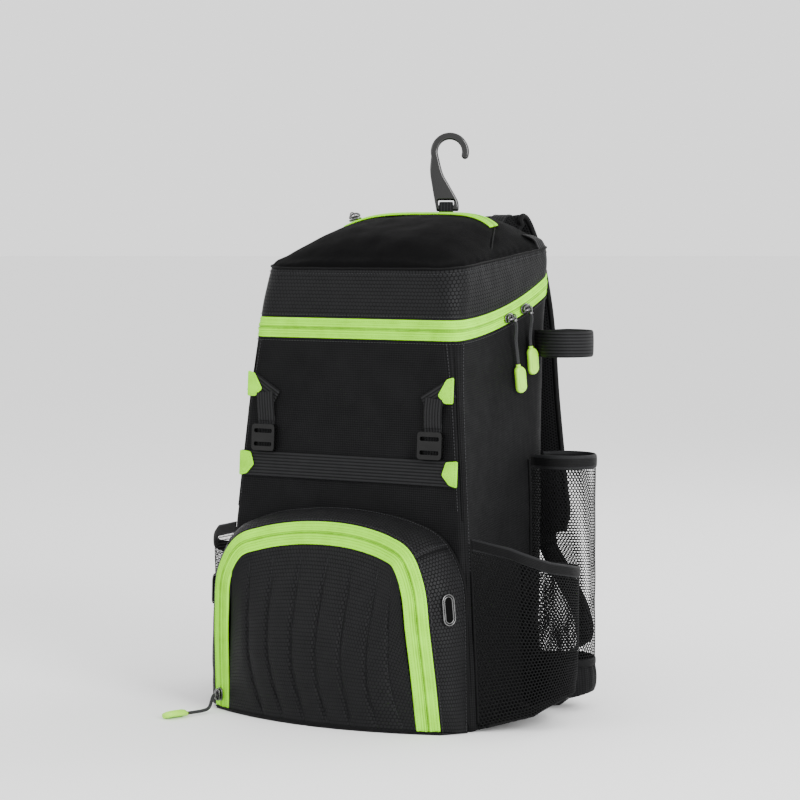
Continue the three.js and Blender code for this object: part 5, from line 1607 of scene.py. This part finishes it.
def seat(at, up, thickness, sign):
    """Where a strap is sewn on the back panel."""
    z = up * RIDGE
    return np.array([sign * at * BASE_WIDTH / 2, float(flat_back(z)) + GAP + thickness / 2, z])


def strap_width(s):
    return STRAP_WIDTH * min(1, 0.66 + 0.85 * s) * (1 - 0.34 * max(0, (s - 0.93) / 0.07) ** 2)


def strap_depth(s):
    crown = 0.72 + 0.28 * math.sin(math.pi * min(1, max(0, (s - 0.05) / 0.92)))
    return STRAP * crown * (1 - 0.45 * max(0, (s - 0.93) / 0.07) ** 2)


def make_shoulder_strap(side, sign):
    """The pad, its bindings, and the webbing with two rows of stitches down its outer face."""
    path = [seat(*STRAP_SEAT, STRAP, sign), seat(STRAP_SEAT[0], STRAP_SEAT[1] + 0.025, STRAP, sign)]
    path += [on_back(*row, sign) for row in SHOULDER]
    strap = ribbon(f"shoulder_pad_{side}", path, strap_width, strap_depth, 170, look="air_mesh",
                   across=ACROSS, roundness=2.2, crown=0.3, covers=(f"shoulder_strap_{side}",))
    curve = Spline(path)
    share = np.linspace(0.005, 0.995, 200)
    middle, ahead = curve.at(share), curve.along(share)
    thick = unit(np.cross(ahead, ACROSS))
    outer = 1.0 if thick[100][1] > 0 else -1.0
    turn = 2 * math.pi * np.arange(RIBBON_SIDES) / RIBBON_SIDES
    free_ring = [k for k in range(RIBBON_SIDES) if abs(math.cos(turn[k])) < 0.93
                 and (abs(math.cos(turn[k])) > 0.4 or math.sin(turn[k]) * outer < 0)]
    free = [i * RIBBON_SIDES + k for i in range(5, 165) for k in free_ring]
    fill_out(strap, free, 0.003)
    cross = unit(np.cross(thick, ahead))
    half = np.array([strap_width(s) for s in share])[:, None] / 2
    for tag, s in (("outer", 1.0), ("inner", -1.0)):
        edge = middle + cross * s * (half - 0.6)
        tube(f"strap_binding_{tag}_{side}", edge, 2.5, "piping", sides=10, squash=1.2)
    depth = np.array([strap_depth(s) for s in share])[:, None] / 2
    out = thick * outer
    lane = middle + out * (depth + 0.5)
    ribbon(f"strap_web_{side}", lane[40:185:6], 20.0, 1.6, 120, across=ACROSS)
    sewn = [((lane + cross * s * 8.2 + out * 0.85)[42:184], out[42:184]) for s in (-1.0, 1.0)]
    stitches(f"strap_stitches_{side}", sewn, "thread")
    return curve


def make_lower_web(side, sign, curve):
    """The webbing from the foot of the shoulder pad to the foot of the bag."""
    end = np.array([1.0])
    foot, down = curve.at(end)[0], curve.along(end)[0]
    route = [foot + down * (GAP - 6), foot + down * 6, foot + down * (GAP + 12)]
    route += [on_back(*row, sign) for row in LOWER]
    route += [seat(0.77, WEB_SEAT + 0.025, WEB, sign), seat(0.77, WEB_SEAT, WEB, sign)]

    def across(s):
        turn = math.sin(math.pi * s)
        return unit(np.array([sign * (1 - 0.25 * turn), 0.15 * turn, 0.6 * turn]))
    ribbon(f"lower_web_{side}", route, LOWER_WEB, WEB, 110, across=across, covers=(f"lower_webbing_{side}",))


# Fence hook

def hook_outline():
    """The bowl and its tip are arcs; the shank's two sides are curves through a few points."""
    bowl_x = 2.3
    outer, inner = HOOK_BOWL + HOOK_ROD / 2, HOOK_BOWL - HOOK_ROD / 2
    tip, turn = math.radians(-14), math.radians(192)

    def on_bowl(radius, a):
        return (bowl_x + radius * math.cos(a), HOOK_HEIGHT + radius * math.sin(a))

    def arc(centre, radius, low, high, steps):
        return [(centre[0] + radius * math.cos(a), centre[1] + radius * math.sin(a))
                for a in np.linspace(low, high, steps + 1)]

    def run(points, start, end):
        return [tuple(p[:2]) for p in Spline([(x, y, 0) for x, y in points]).at(np.linspace(start, end, 30))]
    half = HOOK_FOOT / 2
    right = [(half, 0.1 * HOOK_HEIGHT), (half - 1, 0.18 * HOOK_HEIGHT), (HOOK_FOOT * 0.1, 0.43 * HOOK_HEIGHT),
             (-HOOK_FOOT * 0.2, 0.64 * HOOK_HEIGHT), on_bowl(inner, turn)]
    left = [on_bowl(outer, turn), (-HOOK_FOOT * 0.78, 0.68 * HOOK_HEIGHT),
            (-HOOK_FOOT * 0.68, 0.4 * HOOK_HEIGHT), (-half, 1.0)]
    middle = (bowl_x, HOOK_HEIGHT)
    shape = run(right, 0, 0.98) + arc(middle, inner, turn, tip, 48)
    shape += arc(on_bowl(HOOK_BOWL, tip), HOOK_ROD / 2, tip - 0.92 * math.pi, tip - 0.08 * math.pi, 12)
    shape += arc(middle, outer, tip, turn, 56) + run(left, 0.03, 1)
    shape += [(-half + 1, 0), (0, 0), (half - 1, 0), (half, 1.5)]
    return shape[::-1] if polygon_area(shape) < 0 else shape


def make_hook():
    ax = np.array([math.cos(HOOK_TURN), math.sin(HOOK_TURN), 0])
    ay = np.array([-math.sin(HOOK_TURN), math.cos(HOOK_TURN), 0])
    base = np.array(HOOK_BASE)
    mid = SLOT_LIFT + SLOT_HEIGHT / 2
    slot = [(x - 1.5, y + mid) for x, y in rounded(SLOT_LENGTH, SLOT_HEIGHT, 1.2, 4)]
    place = (base + ay * HOOK / 2, ax, (0, 0, 1), -ay)
    moulded("hook_body", hook_outline(), HOOK, 2.3, "hook_plastic", place, holes=(slot,), steps=6,
            covers=("fence_hook",))
    leg = HOOK / 2 + GAP + 1
    route = [(-leg, -34), (-leg, -6), (-leg + 0.2, SLOT_LIFT - 1), (0, mid + 0.6),
             (leg - 0.2, SLOT_LIFT - 1), (leg, -6), (leg, -34)]
    path = [base + ax * -1.5 + ay * y + np.array([0, 0, z]) for y, z in route]
    ribbon("hook_web", path, HOOK_WEB, WEB * 0.7, 90, across=ax, covers=("hook_webbing",))


# Sewn seams on the body

def make_seams():
    runs = []
    for sign in (1, -1):
        for t, low in ((4.55, 206), (6.7, 150)):
            runs.append(skin_run(np.full(160, sign * t), np.linspace(low, ZIP_FRONT - 4, 160), 0.25))
    t = np.linspace(-16, 16, 600)
    runs += [skin_run(t, zip_low(t) - 3.0, 0.9), skin_run(t, zip_high(t) + 3.2, 0.9)]
    t = np.linspace(0, TURN, 600)
    stitches("body_stitches", [*runs, skin_run(t, seam_at(t) - 4.6, 0.9)], "thread")
    for side, sign in SIDES.items():
        z = np.linspace(196, ZIP_FRONT - 1, 120)
        tube(f"front_seam_{side}", skin(np.full(120, sign * 5.5), z, -0.35), 0.8, "piping")
        z = np.linspace(8, float(zip_high(17.0)) - 2, 140)
        tube(f"back_seam_{side}", skin(np.full(140, sign * 16.6), z, 0.2), 1.7, "piping", sides=10)


# Floor and light

def make_floor_and_sky():
    mesh = bpy.data.meshes.new("floor")
    mesh.from_pydata([(-60, -60, 0), (60, -60, 0), (60, 60, 0), (-60, 60, 0)], [], [(0, 1, 2, 3)])
    floor = bpy.data.objects.new("floor", mesh)
    bpy.context.scene.collection.objects.link(floor)
    look = bpy.data.materials.new("floor")
    look.use_nodes = True
    shader = look.node_tree.nodes["Principled BSDF"]
    shader.inputs["Base Color"].default_value = (0.92, 0.92, 0.92, 1)
    shader.inputs["Roughness"].default_value = 0.8
    shader.inputs["Specular IOR Level"].default_value = 0.1
    mesh.materials.append(look)
    sky = bpy.data.worlds.new("sky")
    sky.use_nodes = True
    sky.node_tree.nodes["Background"].inputs["Color"].default_value = (1, 1, 1, 1)
    sky.node_tree.nodes["Background"].inputs["Strength"].default_value = 1.6
    bpy.context.scene.world = sky


def lamp(name, place, aim_at, size, power):
    data = bpy.data.lights.new(name, "AREA")
    data.shape = "RECTANGLE"
    data.size, data.size_y = size
    data.energy = power
    made = bpy.data.objects.new(name, data)
    bpy.context.scene.collection.objects.link(made)
    made.location = place
    made.rotation_euler = (Vector(aim_at) - made.location).to_track_quat("-Z", "Y").to_euler()


make_looks()
make_camera()
make_pulls()
make_body()
make_lid()
make_lid_zip()
make_top_zip()
make_pocket()
make_door()
make_floor()
make_eyelets()
for side_name, side_sign in SIDES.items():
    for make in (make_bottle_pocket, make_bat_sleeve, make_bat_loop, make_net_bindings):
        make(side_name, side_sign)
make_holder()
make_ladder_locks()
make_back_cushion()
for side_name, side_sign in SIDES.items():
    make_lower_web(side_name, side_sign, make_shoulder_strap(side_name, side_sign))
make_hook()
make_seams()
make_floor_and_sky()
lamp("key", (2.3, -1.0, 1.1), (0, 0, 0.25), (1.0, 1.6), 90)
lamp("fill", (-1.3, -2.2, 1.2), (0, 0, 0.3), (1.2, 1.2), 12)
lamp("rim", (0.7, 1.9, 1.6), (0, 0, 0.3), (1.4, 1.0), 25)
